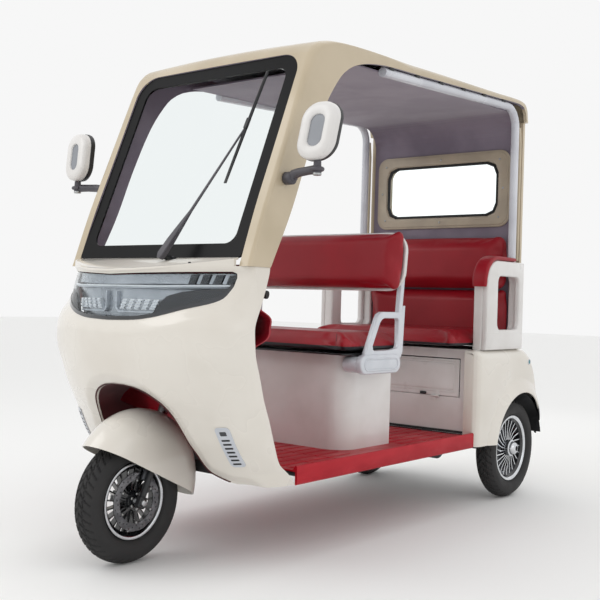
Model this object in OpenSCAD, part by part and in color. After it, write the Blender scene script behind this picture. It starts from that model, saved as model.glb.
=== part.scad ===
// Electric passenger tricycle with a full cab: one steered front wheel, two driven rear wheels.
// Drawn with the front axle at x = 0, +X forward, +Y left, +Z up from the ground,
// then moved so that the origin lies under the middle of the whole vehicle.

/* [Wheels] */
// Distance between the front and the rear axle
wheelbase = 2155; // [2145:1:2165]
// Outer radius of the front tyre
front_tyre_r = 227; // [215:1:230]
// Outer radius of the rear tyres
rear_tyre_r = 249; // [240:1:252]
// Width of every tyre
tyre_w = 98; // [90:1:100]
// Radius of the front rim's flange
front_rim_r = 141; // [134:1:148]
// Radius of the rear rims' flange
rear_rim_r = 166; // [155:1:172]
// Width of every rim over its flanges
rim_w = 70; // [64:1:74]
// Sideways distance from the middle to each rear wheel
rear_wheel_y = 423; // [421:1:426]
// Blades in the front wheel
front_spokes = 20; // [12:1:24]
// Spokes in each rear wheel
rear_spokes = 24; // [12:1:28]

/* [Steering] */
// Rake of the steering axis from upright
rake = 24; // [23:0.5:25]
// Distance ahead of the front axle where the steering axis meets the ground
trail = 80; // [75:1:85]
// Radius of the steering stem
stem_r = 20; // [16:0.5:22]
// Radius of each fork leg
fork_leg_r = 12; // [10:0.5:13]
// Half width of the handlebar over its grips
handlebar_w = 280; // [240:5:300]
// Outer radius of the front fender around its own centre
fender_r = 268; // [264:1:272]
// Half width of the front fender
fender_w = 100; // [98:1:103]

/* [Cowl] */
// Wall thickness of the cowl
cowl_wall = 8; // [5:0.5:10]
// Height of the cowl's top edge, where the pillars stand
cowl_top = 1081; // [1070:1:1088]
// Height of the cowl's lower edge
cowl_bottom = 300; // [290:1:310]
// Thickness of the clear headlamp lens
lens_wall = 4; // [3:0.5:6]
// Depth of the headlamp housing behind the lens
lamp_depth = 60; // [40:1:70]

/* [Cab] */
// Half width of the cab over the roof's side faces
cab_w = 482; // [478:1:486]
// Wall thickness of the roof and pillar moulding
roof_wall = 16; // [10:1:20]
// Lean of the windshield from upright
glass_lean = 21.95; // [21.5:0.05:22.4]
// Half width of the windshield over its black border
glass_w = 433; // [425:1:436]
// Length of the windshield along its slope, over its border
glass_len = 834; // [815:1:838]
// Thickness of the windshield glass
glass_t = 5; // [4:0.5:6]
// Thickness of the black border
border_t = 8; // [7:0.5:10]
// Radius of the cab's rail and post tubes
rail_r = 20; // [16:0.5:22]
// Thickness of the cab's inner lining
liner_t = 6; // [4:0.5:8]
// Thickness of the rear wall
rear_wall_t = 20; // [12:1:22]
// Half width of the rear window opening
rear_window_w = 335; // [300:1:345]
// Height of the rear window opening
rear_window_h = 272; // [240:1:280]

/* [Floor and frame] */
// Height of the floor's upper surface
floor_top = 350; // [346:1:354]
// Depth of the floor pan's side edge
floor_edge = 54; // [48:1:58]
// Skin thickness of the floor pan
floor_skin = 6; // [4:0.5:8]
// Half width of the floor pan
floor_w = 480; // [472:1:484]
// Width of each frame rail
rail_w = 50; // [40:1:56]
// Height of each frame rail
rail_h = 60; // [54:1:64]
// Sideways distance from the middle to each frame rail
rail_y = 210; // [200:1:220]

/* [Seats] */
// Height of the driver's seat box
seat_box_top = 750; // [742:1:756]
// Half width of the driver's seat box
seat_box_w = 330; // [315:1:340]
// Thickness of the seat cushions
cushion_t = 95; // [85:1:100]
// Height of the rear seat box and fenders
bench_top = 757; // [750:1:762]

/* [Hidden] */
// Gap at a seat between two pieces
seat = 0.3;
// Running clearance of a shaft in its bore
run = 0.08;
// Free gap round everything that moves
free = 6;
// Wall thickness of the moulded boxes and fenders
wall_t = 6;
$fn = 48;

tail_x = -wheelbase - 300;
centre_x = -(front_tyre_r + tail_x) / 2;
floor_front = -380;
// Rear edge of the floor and face of the rear wall, both set from the rear axle
floor_rear = 443 - wheelbase;
wall_x = -wheelbase - 17;
fork_leg_y = tyre_w / 2 + free + fork_leg_r;
// Lower edge of the windshield, and height of the armrests' tops
glass_x = -94;
glass_z = 1113;
arm_top = 1192;

module place() { translate([centre_x, 0, 0]) children(); }
module mirrored() { children(); mirror([0, 1, 0]) children(); }
// Extrudes an outline drawn in x and z across the vehicle, from y0 to y1
module across(y0, y1) {
    translate([0, y1, 0]) rotate([90, 0, 0]) linear_extrude(y1 - y0) children();
}
function arc(cx, cy, r, a0, a1, n) =
    [for (i = [0:n]) let (a = a0 + (a1 - a0) * i / n) [cx + r * cos(a), cy + r * sin(a)]];
// Closed loft through rings of equal length, each ring listed the same way round
module loft(rings) {
    n = len(rings[0]);
    m = len(rings);
    points = [for (ring = rings) each ring];
    sides = [for (i = [0:m - 2], j = [0:n - 1]) let (k = (j + 1) % n)
        each [[i * n + j, (i + 1) * n + j, (i + 1) * n + k], [i * n + j, (i + 1) * n + k, i * n + k]]];
    first = [for (j = [0:n - 1]) j];
    last = [for (j = [n - 1:-1:0]) (m - 1) * n + j];
    polyhedron(points, concat([first], sides, [last]));
}
module rounded_box(x0, x1, y0, y1, z0, z1, r) {
    translate([x0, y0, z0]) linear_extrude(z1 - z0) rounded_rect(x1 - x0, y1 - y0, r);
}
module rounded_rect(w, h, r) {
    translate([r, 0]) square([w - 2 * r, h]);
    translate([0, r]) square([w, h - 2 * r]);
    for (x = [r, w - r], y = [r, h - r]) translate([x, y]) circle(r);
}
module stadium(w, h) {
    translate([-w / 2, -(h - w) / 2]) square([w, h - w]);
    for (s = [-1, 1]) translate([0, s * (h - w) / 2]) circle(w / 2);
}
module bar_between(a, b, r) {
    d = b - a;
    translate(a) rotate([0, acos(d[2] / norm(d)), atan2(d[1], d[0])]) cylinder(r = r, h = norm(d));
}
// Hinge at the foot of a panel: pin along y at the origin, panel face at x = -hinge_out, fixed part below
hinge_out = 7;
knuckle_r = 6;
pin_r = 3;
knuckle_len = 22;
leaf_t = 3;
leaf_h = 24;
leaf_root = 1;
module hinge_fixed() {
    rotate([90, 0, 0]) cylinder(r = knuckle_r, h = knuckle_len);
    translate([0, knuckle_len + 1, 0]) rotate([90, 0, 0]) cylinder(r = pin_r, h = 2 * knuckle_len);
    translate([-hinge_out - leaf_root, -knuckle_len, -leaf_h])
        cube([leaf_root + leaf_t, knuckle_len, leaf_h]);
}
module hinge_moving() {
    difference() {
        union() {
            translate([0, knuckle_len + 1, 0]) rotate([90, 0, 0]) cylinder(r = knuckle_r, h = knuckle_len);
            translate([-hinge_out - leaf_root, 1, 1]) cube([leaf_root + leaf_t, knuckle_len, leaf_h]);
        }
        translate([0, knuckle_len + 2, 0]) rotate([90, 0, 0])
            cylinder(r = pin_r + run, h = knuckle_len + 2);
    }
}

// Front cowl
// Levels from the bottom up: height, nose x, half width, x where the nose curve meets the side,
// rear edge x, and bluntness of the nose curve, 2 for a parabola and 1 for an ellipse
cowl_levels = [
    [cowl_bottom, -110, 472, -330, floor_front + seat, 1],
    [345, -92, 482, -310, -326, 1],
    [386, -72, 485, -270, -272, 1],
    [454, -32, 488, -225, -239, 1],
    [540, 18, 491, -198, -204, 1],
    [620, 66, 493, -166, -168, 1],
    [700, 100, 495, -138, -141, 1],
    [783, 123, 496, -112, -114, 0.95],
    [860, 134, 495, -106, -108, 1.05],
    [950, 137, 489, -138, -146, 1.35],
    [1020, 134, 483, -130, -178, 1.65],
    [cowl_top, 128, 478, -120, -198, 2]];
scuttle_high = 1140;
scuttle_level = [scuttle_high, 128, 478, -120, -198, 2];
cowl_steps = 12;
// Plan curve at one level, moved inward by inset and closed at x = rear
function cowl_ring(lv, inset, rear) =
    let (nose = lv[1] - inset, w = lv[2] - inset, sx = lv[3] - inset / 2,
         half = [for (i = [0:cowl_steps]) let (t = 90 * i / cowl_steps)
             [sx + (nose - sx) * pow(cos(t), lv[5]), w * sin(t)]])
    concat(
        [[rear, -w, lv[0]]],
        [for (i = [cowl_steps:-1:1]) [half[i][0], -half[i][1], lv[0]]],
        [for (i = [0:cowl_steps]) [half[i][0], half[i][1], lv[0]]],
        [[rear, w, lv[0]]]);
// Solid inside the cowl's outer surface moved inward by inset; rear_to replaces the measured rear edge
module cowl_core(inset, rear_to, top = true) {
    extra = inset > 0 ? 20 : 0;
    levels = concat([for (lv = cowl_levels) lv], top ? [scuttle_level] : []);
    loft([for (lv = levels) cowl_ring(
        [lv[0] == cowl_bottom ? lv[0] - extra : lv[0], lv[1], lv[2], lv[3], 0, lv[5]],
        inset, rear_to == undef ? lv[4] : rear_to)]);
}
// Everything above the sloped scuttle, and above the pillars' feet at the corners
scuttle_nose_z = 1063;
scuttle_slope = atan2(glass_z - scuttle_nose_z, 128 - glass_x);
module above_scuttle(drop) {
    translate([glass_x, -600, glass_z - drop]) rotate([0, scuttle_slope, 0]) translate([-300, 0, 0])
        cube([800, 1200, 300]);
    for (y = [glass_w - drop, -glass_w + drop - 300])
        translate([-500, y, cowl_top - drop]) cube([900, 300, 200]);
}

// The wheel arch as seen from the front: half width at each height
arch_line = [[430, cowl_bottom - 60], [395, cowl_bottom], [340, 309], [298, 326], [266, 346], [252, 372],
    [243, 402], [230, 440], [219, 490], [206, 540], [186, 578], [158, 605], [120, 628], [70, 643], [25, 648]];
module arch_cut() {
    outline = concat(arch_line, [for (i = [len(arch_line) - 1:-1:0]) [-arch_line[i][0], arch_line[i][1]]]);
    translate([-330, 0, 0]) rotate([90, 0, 90]) linear_extrude(600) polygon(outline);
}
// Headlamp outline as seen from the front, from the middle to one end and back
lamp_line = [[0, 882], [120, 886], [195, 896], [300, 926], [408, 968], [427, 1010], [431, 1062], [0, 1045]];
module lamp_prism(grow) {
    n = len(lamp_line);
    translate([-330, 0, 0]) rotate([90, 0, 90]) linear_extrude(600) offset(delta = grow)
        polygon(concat(lamp_line, [for (i = [n - 2:-1:1]) [-lamp_line[i][0], lamp_line[i][1]]]));
}
// Side vents: middle of the plate on the cowl's front flank, facing angle, lean and size
vent_at = [-94, 390, 450];
vent_face = 28;
vent_lean = 16;
vent_len = 144;
vent_wide = 52;
module on_vent() {
    mirrored() translate(vent_at) rotate([0, 0, vent_face]) rotate([90, 0, 90]) rotate(vent_lean) children();
}
module vent_prism(grow) {
    on_vent() translate([0, 0, -70]) linear_extrude(120)
        translate([-vent_wide / 2 - grow, -vent_len / 2 - grow])
        rounded_rect(vent_wide + 2 * grow, vent_len + 2 * grow, 14);
}
module front_cowl() {
    color("#efece4") union() {
        difference() {
            cowl_core(0);
            above_scuttle(0);
            difference() { cowl_core(cowl_wall, -620); above_scuttle(cowl_wall); }
            on_glass() translate([0, 0, -60]) linear_extrude(120) glass_outline(seat, 16, 95);
            arch_cut();
            lamp_prism(seat);
            vent_prism(seat);
        }
        on_wiper() translate([0, 0, 26]) cylinder(r = 9, h = wiper_lift - seat - 26);
    }
}
module headlamp_lens() {
    color([0.85, 0.9, 0.93, 0.45]) intersection() {
        lamp_prism(0);
        difference() { cowl_core(0, -400, false); cowl_core(lens_wall, -420, false); }
        translate([-200, -440, 850]) cube([400, 880, 300]);
    }
}
// Bowl behind the lens, its rim against the edge of the cowl's opening
module headlamp_housing() {
    color("#3a3d42") difference() {
        intersection() {
            lamp_prism(0);
            cowl_core(lens_wall + seat, -400, false);
            translate([-130, -440, 850]) cube([330, 880, 300]);
        }
        cowl_core(lamp_depth, -420, false);
        difference() { lamp_prism(-9); cowl_core(lamp_depth - wall_t, -420, false); }
    }
}
module cowl_vents() {
    color("#9aa0a6") intersection() {
        difference() {
            vent_prism(0);
            on_vent() translate([0, 0, -70]) linear_extrude(120)
                for (i = [-3:3]) translate([-15, i * 16 - 3]) square([30, 6]);
        }
        difference() { cowl_core(-2, -430, false); cowl_core(cowl_wall, -620, false); }
    }
}
// Side profile of the red inner panel: dash, knee panel and toe board
panel_half = 460;
column_slot = 46;
module inner_cowl() {
    foot = floor_top + seat;
    color("#8e1420") difference() {
        intersection() {
            across(-panel_half, panel_half)
                polygon([[-120, 1096], [-204, 1004], [-252, 976], [-280, 942], [-276, 880], [-234, 800],
                    [-242, 700], [-362, 420], [-404, foot], [-394, foot], [-353, 417], [-233, 700],
                    [-225, 802], [-267, 880], [-271, 938], [-247, 968], [-198, 996], [-110, 1096]]);
            cowl_core(cowl_wall + seat, -460);
        }
        above_scuttle(cowl_wall + seat);
        translate([-320, -column_slot, 560]) cube([140, 2 * column_slot, 300]);
    }
}

// Windshield: a flat panel leaning back by glass_lean from its lower edge
module on_glass() {
    translate([glass_x, 0, glass_z]) rotate([0, -glass_lean, 0]) rotate([90, 0, 90]) children();
}
module glass_outline(grow, r_low, r_high) {
    w = glass_w + grow;
    translate([-w + r_low, -grow]) square([2 * (w - r_low), glass_len / 2]);
    translate([-w + r_high, glass_len / 2]) square([2 * (w - r_high), glass_len / 2 + grow]);
    translate([-w, r_low - grow]) square([2 * w, glass_len - r_low - r_high + 2 * grow]);
    for (s = [-1, 1]) {
        translate([s * (w - r_low), r_low - grow]) circle(r_low);
        translate([s * (w - r_high), glass_len + grow - r_high]) circle(r_high);
    }
}
border_wide = 54;
module windshield_border() {
    color("#121316") on_glass() translate([0, 0, -border_t]) linear_extrude(border_t) difference() {
        glass_outline(0, 16, 95);
        glass_outline(-border_wide, 45, 52);
    }
}
module cab_glass() {
    color([0.75, 0.85, 0.9, 0.3]) {
        on_glass() translate([0, 0, -glass_t - 1]) linear_extrude(glass_t)
            glass_outline(-border_wide - seat, 45, 52);
        translate([wall_x - liner_t - 12, 0, rear_window_z]) rotate([90, 0, 90]) linear_extrude(5)
            window_outline(rear_window_w - seat, rear_window_h - 2 * seat, 60);
    }
}

// Roof and pillars: one moulding lofted along the cab's side outline
// Stations from the pillar's foot over the roof to its rear lip:
// outer x, outer z, inner x, inner z, crown in the middle, edge radius
roof_stations = [
    [-85, cowl_top + seat, -197, cowl_top + seat, 0, 18],
    [-159, 1290, -302, 1290, 0, 18],
    [-249, 1512, -392, 1510, 0, 20],
    [-331, 1716, -488, 1706, 0, 24],
    [-372, 1818, -545, 1788, 0, 28],
    [-402, 1885, -592, 1840, 4, 34],
    [-448, 1930, -660, 1882, 14, 40],
    [-520, 1953, -760, 1912, 24, 42],
    [-660, 1966, -880, 1929, 28, 42],
    [-1140, 1986, -1140, 1943, 30, 36],
    [wall_x + 287, 2012, wall_x + 287, 1982, 30, 28],
    [wall_x + 62, 2020, wall_x + 84, 1992, 26, 26],
    [wall_x, 2012, wall_x + 32, 1984, 18, 26],
    [wall_x - 31, 1980, wall_x + 6, 1958, 8, 26],
    [wall_x - 39, 1914, wall_x - 8, 1914, 0, 20]];
roof_corner_steps = 4;
// Reach of the hollow past the moulding's inner edge
hollow_reach = 25;
roof_crown_steps = 4;
// One ring of the roof: up one side face, over the crown and down the other; t moves it inward
function roof_ring(st, t) =
    let (dx = st[0] - st[2], dz = st[1] - st[3], d = norm([dx, dz]),
         ux = dx / d, uz = dz / d, r = max(st[5] - t, 2), w = cab_w - t, top = d - t,
         low = t > 0 ? -hollow_reach : 0,
         side = concat([[w, low]],
            [for (i = [0:roof_corner_steps]) let (a = 90 * i / roof_corner_steps)
                [w - r + r * cos(a), top - r + r * sin(a)]]),
         crown = [for (i = [1:roof_crown_steps]) let (y = (w - r) * (1 - i / roof_crown_steps))
                [y, top + st[4] * (1 - pow(y / (w - r), 2))]],
         half = concat(side, crown),
         m = len(half) - 1,
         ring = concat(half, [for (i = [m - 1:-1:0]) [-half[i][0], half[i][1]]]))
    [for (p = ring) [st[2] + ux * p[1], -p[0], st[3] + uz * p[1]]];
function station_shift(st, dz) = [st[0], st[1] + dz, st[2], st[3] + dz, st[4], st[5]];
module roof_solid(t) {
    m = len(roof_stations) - 1;
    ends = t > 0
        ? concat([station_shift(roof_stations[0], -30)], roof_stations,
            [station_shift(roof_stations[m], -30)])
        : roof_stations;
    loft([for (st = ends) roof_ring(st, t)]);
}
module roof_shell() {
    color("#cdbb9b") difference() {
        roof_solid(0);
        roof_solid(roof_wall);
        on_glass() translate([0, 0, -60]) linear_extrude(120) glass_outline(seat, 16, 95);
        on_glass() translate([-glass_w - seat, -90, -60]) cube([2 * (glass_w + seat), 110, 160]);
    }
}

// Rails and posts of the cab: straight tube under the roof edge, elbow, rear post
low_edge = roof_stations[8];
high_edge = roof_stations[10];
rail_slope = atan2(high_edge[3] - low_edge[3], low_edge[2] - high_edge[2]);
rail_front = -890;
rail_back = wall_x + 172;
rail_cy = cab_w - rail_r - 4;
elbow_r = 95;
function rail_z(x) = low_edge[3] + (low_edge[2] - x) * tan(rail_slope) - rail_r / cos(rail_slope) - seat;
elbow_x = rail_back - elbow_r * sin(rail_slope);
elbow_z = rail_z(rail_back) - elbow_r * cos(rail_slope);
post_x = elbow_x - elbow_r;
// Path of the tube's middle: x, z and heading in the side view
rail_path = concat([[rail_front, rail_z(rail_front), 180 - rail_slope]],
    [for (i = [0:6]) let (h = 180 - rail_slope + (90 + rail_slope) * i / 6)
        [elbow_x + elbow_r * sin(h), elbow_z - elbow_r * cos(h), h]],
    [[post_x, arm_top + seat, 270]]);
module cab_rails() {
    color("#c9cbd0") mirrored() loft([for (p = rail_path) [for (j = [0:15]) let (a = 22.5 * j)
        [p[0] + rail_r * cos(a) * sin(p[2]), rail_cy + rail_r * sin(a),
            p[1] - rail_r * cos(a) * cos(p[2])]]]);
}

// Grey inner lining of the roof and the rear wall
liner_w = rail_cy - rail_r - seat;
liner_front = -700;
cove_r = 120;
liner_z = 1905;
liner_rear_z = 1950;
rear_window_z = 1582;
module window_outline(w, h, r) { translate([-w, -h / 2]) rounded_rect(2 * w, h, r); }
module window_cut() {
    translate([wall_x - 100, 0, rear_window_z]) rotate([90, 0, 90]) linear_extrude(200)
        window_outline(rear_window_w, rear_window_h, 60);
}
module cab_liner() {
    color("#6f6470") difference() {
        across(-liner_w, liner_w) polygon(concat(
            [[liner_front, liner_z + liner_t], [liner_front, liner_z]],
            arc(wall_x + cove_r, liner_rear_z - cove_r, cove_r, 90, 180, 8),
            [[wall_x, bench_top], [wall_x - liner_t, bench_top]],
            arc(wall_x + cove_r, liner_rear_z - cove_r, cove_r + liner_t, 180, 90, 8)));
        window_cut();
    }
}
wall_half = cab_w - roof_wall - 2;
wall_high = 1914;
module rear_wall() {
    color("#cfc3ad") difference() {
        translate([wall_x - liner_t - seat - rear_wall_t, -wall_half, bench_top])
            cube([rear_wall_t, 2 * wall_half, wall_high - seat - bench_top]);
        window_cut();
    }
}
module rear_window_trim() {
    color("#b8a88f") translate([wall_x, 0, rear_window_z]) rotate([90, 0, 90])
        linear_extrude(10) difference() {
        window_outline(407, 400, 62);
        window_outline(rear_window_w, rear_window_h, 60);
    }
}

// Floor pan with ribs and a raised edge, open below and at both ends
pan_wall = 8;
lip_h = 17;
rib_w = 14;
rib_h = 3;
module floor_pan() {
    low = floor_top - floor_edge;
    color("#b01224") {
        difference() {
            translate([floor_rear, -floor_w, low])
                cube([floor_front - floor_rear, 2 * floor_w, floor_edge + lip_h]);
            translate([floor_rear - 1, -floor_w + pan_wall, low - 1])
                cube([floor_front - floor_rear + 2, 2 * (floor_w - pan_wall), floor_edge - floor_skin + 1]);
            translate([floor_rear - 1, -floor_w + 12, floor_top])
                cube([floor_front - floor_rear + 2, 2 * (floor_w - 12), lip_h + 1]);
        }
        for (y = [-420:60:420]) {
            translate([box_front + 10, y - rib_w / 2, floor_top - 1]) cube([440, rib_w, rib_h + 1]);
            translate([floor_rear + 12, y - rib_w / 2, floor_top - 1])
                cube([box_rear - 30 - floor_rear, rib_w, rib_h + 1]);
        }
    }
}

// Frame
frame_top = floor_top - floor_skin;
frame_low = frame_top - rail_h;
kick_x = floor_rear - 6;
axle_z = rear_tyre_r;
rear_frame_low = 336;
rear_frame_high = rear_frame_low + 50;
head_low = 640;
head_high = 860;
head_r = 32;
down_tube_r = 18;
beam_front = -345;
tow_dy = 110;
tow_dz = 40;
tow_hole_r = 5.5;
tow_z = 300;
tow_x = -wheelbase - 185;
function steer_x(s) = trail - s * sin(rake);
function steer_z(s) = s * cos(rake);
module on_steering(s) { translate([steer_x(s), 0, steer_z(s)]) rotate([0, -rake, 0]) children(); }
module chassis_frame() {
    reach = floor_w - pan_wall - seat;
    color("#1c1d20") difference() {
        union() {
            for (s = [-1, 1]) across(s * rail_y - rail_w / 2, s * rail_y + rail_w / 2)
                polygon([[-430, frame_low], [-430, frame_top], [kick_x, frame_top],
                    [kick_x - 60, rear_frame_high],
                    [tow_x, rear_frame_high], [tow_x, rear_frame_low], [kick_x - 75, rear_frame_low],
                    [kick_x - 20, frame_low]]);
            for (x = [-470, -860, -1250, floor_rear + 22])
                translate([x, -rail_y, frame_low + 10]) cube([40, 2 * rail_y, rail_h - 10]);
            for (x = [-640, -1180, floor_rear + 72])
                translate([x, -reach, frame_top - 26]) cube([30, 2 * reach, 26]);
            for (x = [floor_rear - 118, tow_x + 10])
                translate([x, -rail_y, rear_frame_low]) cube([30, 2 * rail_y, 40]);
            translate([tow_x, -80, tow_z - tow_dz]) cube([11, 160, rear_frame_low + 30 - tow_z + tow_dz]);
            translate([-470, -25, frame_low + 10]) cube([470 + beam_front, 50, rail_h - 10]);
            bar_between([beam_front - 18, 0, frame_top - 14],
                [steer_x(head_low + 78), 0, steer_z(head_low + 78)], down_tube_r);
            on_steering(head_low) cylinder(r = head_r, h = head_high - head_low);
        }
        on_steering(head_low - 50) cylinder(r = stem_r + run, h = head_high - head_low + 100);
        for (y = [-1, 1], z = [-1, 1])
            translate([tow_x - 10, y * tow_dy / 2, tow_z + z * tow_dz / 2]) rotate([0, 90, 0])
                cylinder(r = tow_hole_r, h = 30);
    }
}

// Rear axle: tube with a gear case, stub shafts, motor and springs
shaft_r = 12;
hub_half = 42;
hub_r = 38;
axle_tube_r = 28;
gear_r = 82;
motor_r = 78;
module rear_axle() {
    reach = rear_wheel_y - hub_half - free;
    stub = rear_wheel_y + hub_half + 14;
    color("#25262a") translate([-wheelbase, 0, axle_z]) rotate([90, 0, 0]) {
        translate([0, 0, -reach]) cylinder(r = axle_tube_r, h = 2 * reach);
        translate([0, 0, -stub]) cylinder(r = shaft_r, h = 2 * stub);
        translate([0, 0, -60]) cylinder(r = gear_r, h = 120);
    }
}
module drive_motor() {
    color("#3b3d42") translate([-wheelbase + gear_r + motor_r, 0, axle_z]) rotate([90, 0, 0]) difference() {
        translate([0, 0, -125]) cylinder(r = motor_r - seat, h = 250);
        for (i = [0:7]) translate([0, 0, -100 + i * 28]) difference() {
            cylinder(r = motor_r + 12, h = 8);
            translate([0, 0, -1]) cylinder(r = motor_r - 8, h = 10);
        }
    }
}
leaf_r = 1500;
leaf_t2 = 8;
module leaf_springs() {
    color("#2a2b2f") mirrored() {
        for (i = [0:2]) {
            half = 275 - 70 * i;
            base = axle_z + axle_tube_r + seat + leaf_t2 * (2 - i);
            across(rail_y - 22, rail_y + 22) translate([-wheelbase, base + leaf_r]) intersection() {
                difference() { circle(leaf_r, $fn = 96); circle(leaf_r - leaf_t2, $fn = 96); }
                translate([-half, -leaf_r - 1]) square([2 * half, 60]);
            }
        }
        for (x = [-262, 246]) translate([-wheelbase + x, rail_y - 20, axle_z + 62])
            cube([16, 40, rear_frame_low - axle_z - 62]);
    }
}

// Driver's seat: box with a battery bay, a cushion that is its lid, and the backrest
box_front = -862;
box_rear = -1212;
box_corner = 100;
module seat_plan(t) {
    w = 2 * seat_box_w;
    l = box_front - box_rear;
    translate([t, t]) square([l - box_corner - t, w - 2 * t]);
    translate([t, box_corner]) square([l - 2 * t, w - 2 * box_corner]);
    for (y = [box_corner, w - box_corner]) translate([l - box_corner, y]) circle(box_corner - t);
}
lid_hinge_y = 180;
module at_lid_hinge() {
    for (y = [-lid_hinge_y, lid_hinge_y])
        translate([box_rear - hinge_out, y, seat_box_top]) mirror([1, 0, 0]) children();
}
module driver_seat_box() {
    h = seat_box_top - floor_top;
    color("#efece6") union() {
        difference() {
            translate([box_rear, -seat_box_w, floor_top]) linear_extrude(h) seat_plan(0);
            translate([box_rear, -seat_box_w, floor_top - 1]) linear_extrude(h + 2) seat_plan(wall_t);
        }
        at_lid_hinge() hinge_fixed();
    }
}
battery_l = 290;
battery_w = 500;
battery_h = 230;
module battery_pack() {
    color("#2d3036") translate([box_rear + 32, -battery_w / 2, floor_top])
        cube([battery_l, battery_w, battery_h]);
}
cushion_front = -792;
cushion_w = 388;
module driver_seat_cushion() {
    low = seat_box_top + seat;
    color("#a3172a") union() {
        rounded_box(box_rear, cushion_front, -cushion_w, cushion_w, low, low + cushion_t, 60);
        at_lid_hinge() hinge_moving();
    }
}
back_x = -1086;
back_low = 1028;
back_lean = 6;
back_w = 440;
back_h = 250;
back_t = 72;
shell_t = 14;
module on_back() { translate([back_x, 0, back_low]) rotate([0, -back_lean, 0]) children(); }
module driver_backrest() {
    color("#a3172a") on_back() rotate([90, 0, 0]) translate([0, 0, -back_w])
        linear_extrude(2 * back_w) translate([-back_t / 2, 0]) rounded_rect(back_t, back_h, 34);
}
module driver_backrest_shell() {
    color("#e9e7e3") on_back() rotate([90, 0, 90]) translate([0, 0, -back_t / 2 - seat - shell_t])
        linear_extrude(shell_t) translate([-back_w, 0]) rounded_rect(2 * back_w, back_h, 80);
}
bracket_y = 395;
bracket_x = -985;
bracket_z = 712;
bracket_t = 26;
post_t = 26;
cover_t = 8;
module seat_brackets() {
    color("#b9bcc2") mirrored() {
        translate([bracket_x, bracket_y + 2, bracket_z]) rotate([90, 0, 0])
            linear_extrude(bracket_y + 2 - seat_box_w)
            rotate(90) stadium(66, 282);
        translate([bracket_x - 5, bracket_y + bracket_t + cover_t, bracket_z + 2]) rotate([90, 0, 0])
            linear_extrude(bracket_t + cover_t - 1) rotate(90) stadium(82, 298);
        across(bracket_y, bracket_y + bracket_t) difference() {
            polygon([[-862, 714], [-880, 745], [-960, 900], [-1000, 932], [-1140, 932], [-1160, 960],
                [-1176, 960], [-1164, 760], [-1134, 690], [-1100, 673], [-880, 673], [-846, 690]]);
            polygon([[-935, 790], [-985, 885], [-1020, 905], [-1128, 905], [-1128, 780], [-1060, 770],
                [-950, 770]]);
        }
        on_back() translate([-back_t / 2 - 2 * seat - shell_t - post_t, bracket_y + 1, -120])
            cube([post_t, bracket_t - 2, 320]);
    }
}

// Rear bench
seat_front = floor_rear - 30;
bench_split = floor_rear - 148;
bench_in = 325;
bench_out = 415;
door_low = 524;
door_high = 712;
door_w = 382;
door_gap = 5;
door_hinge_y = 250;
door_pin_z = door_low;
module bench_outline(t) {
    translate([bench_split, -bench_out + t]) square([seat_front - bench_split - t, 2 * (bench_out - t)]);
    translate([wall_x + 20 + t, -bench_in + t])
        square([bench_split - wall_x - 20 - t + 1, 2 * (bench_in - t)]);
}
module at_door_hinge() {
    for (y = [-door_hinge_y, door_hinge_y]) translate([seat_front + hinge_out, y, door_pin_z]) children();
}
module rear_seat_box() {
    color("#e9e6e0") union() {
        difference() {
            translate([0, 0, floor_top]) linear_extrude(bench_top - floor_top) bench_outline(0);
            translate([0, 0, floor_top - 1])
                linear_extrude(bench_top - floor_top - wall_t + 1) bench_outline(wall_t);
            translate([seat_front - 20, -door_w, door_low]) cube([40, 2 * door_w, door_high - door_low]);
            for (s = [-1, 1]) translate([bench_split - 540, s * rail_y - rail_w / 2 - seat, floor_top - 5])
                cube([700, rail_w + 2 * seat, rear_frame_high + seat - floor_top + 5]);
            translate([bench_split - 540, -430, floor_top - 10])
                cube([540, 860, rear_frame_high + seat - floor_top + 10]);
        }
        at_door_hinge() hinge_fixed();
    }
}
module rear_box_door() {
    color("#e9e6e0") union() {
        translate([seat_front - wall_t, -door_w + door_gap, door_low + 2])
            cube([wall_t, 2 * (door_w - door_gap), door_high - door_low - 2 - door_gap]);
        at_door_hinge() hinge_moving();
    }
}
rear_cushion_front = floor_rear + 112;
rear_back_x = wall_x + 74;
module rear_seat_cushion() {
    color("#a3172a") rounded_box(rear_back_x, rear_cushion_front, -bench_out, bench_out,
        bench_top + seat, bench_top + cushion_t, 50);
}
back_split = 1054;
head_pad_t = 108;
head_pad_h = 270;
module rear_backrests() {
    color("#a3172a") {
        translate([wall_x + seat, 0, back_split + 3]) rotate([90, 0, 0]) translate([0, 0, -bench_out])
            linear_extrude(2 * bench_out) rounded_rect(head_pad_t, head_pad_h, 50);
        rounded_box(wall_x + seat, rear_back_x - seat, -bench_out, bench_out,
            bench_top + seat, back_split, 20);
    }
}

// Rear fenders: a body side lofted from front to rear, hollow over the wheel
// Stations: x, top height, outer half width, inner half width, radius of the upper outer edge
fender_front = floor_rear - seat;
fender_in = 335;
fender_bulge = 504;
fender_side = bench_out + 5;
arch_r = 288;
bench_step = bench_split - 4;
fender_stations = [
    [fender_front, bench_top - 14, 470, fender_side, 16],
    [fender_front - 8, bench_top - 5, 486, fender_side, 24],
    [fender_front - 30, bench_top, 498, fender_side, 34],
    [bench_step, bench_top, fender_bulge, fender_side, 44],
    [bench_step - 1, bench_top, fender_bulge, fender_in, 44],
    [-wheelbase + 155, bench_top, fender_bulge + 1, fender_in, 46],
    [-wheelbase - 30, bench_top, fender_bulge, fender_in, 46],
    [-wheelbase - 107, bench_top - 24, 500, fender_in, 50],
    [-wheelbase - 163, bench_top - 82, 494, fender_in, 54],
    [-wheelbase - 207, 600, 486, fender_in, 54],
    [-wheelbase - 255, 470, 474, fender_in, 50],
    [-wheelbase - 285, 380, 462, fender_in, 40],
    [tail_x, 318, 452, fender_in, 16]];
fender_edge_steps = 5;
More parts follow.
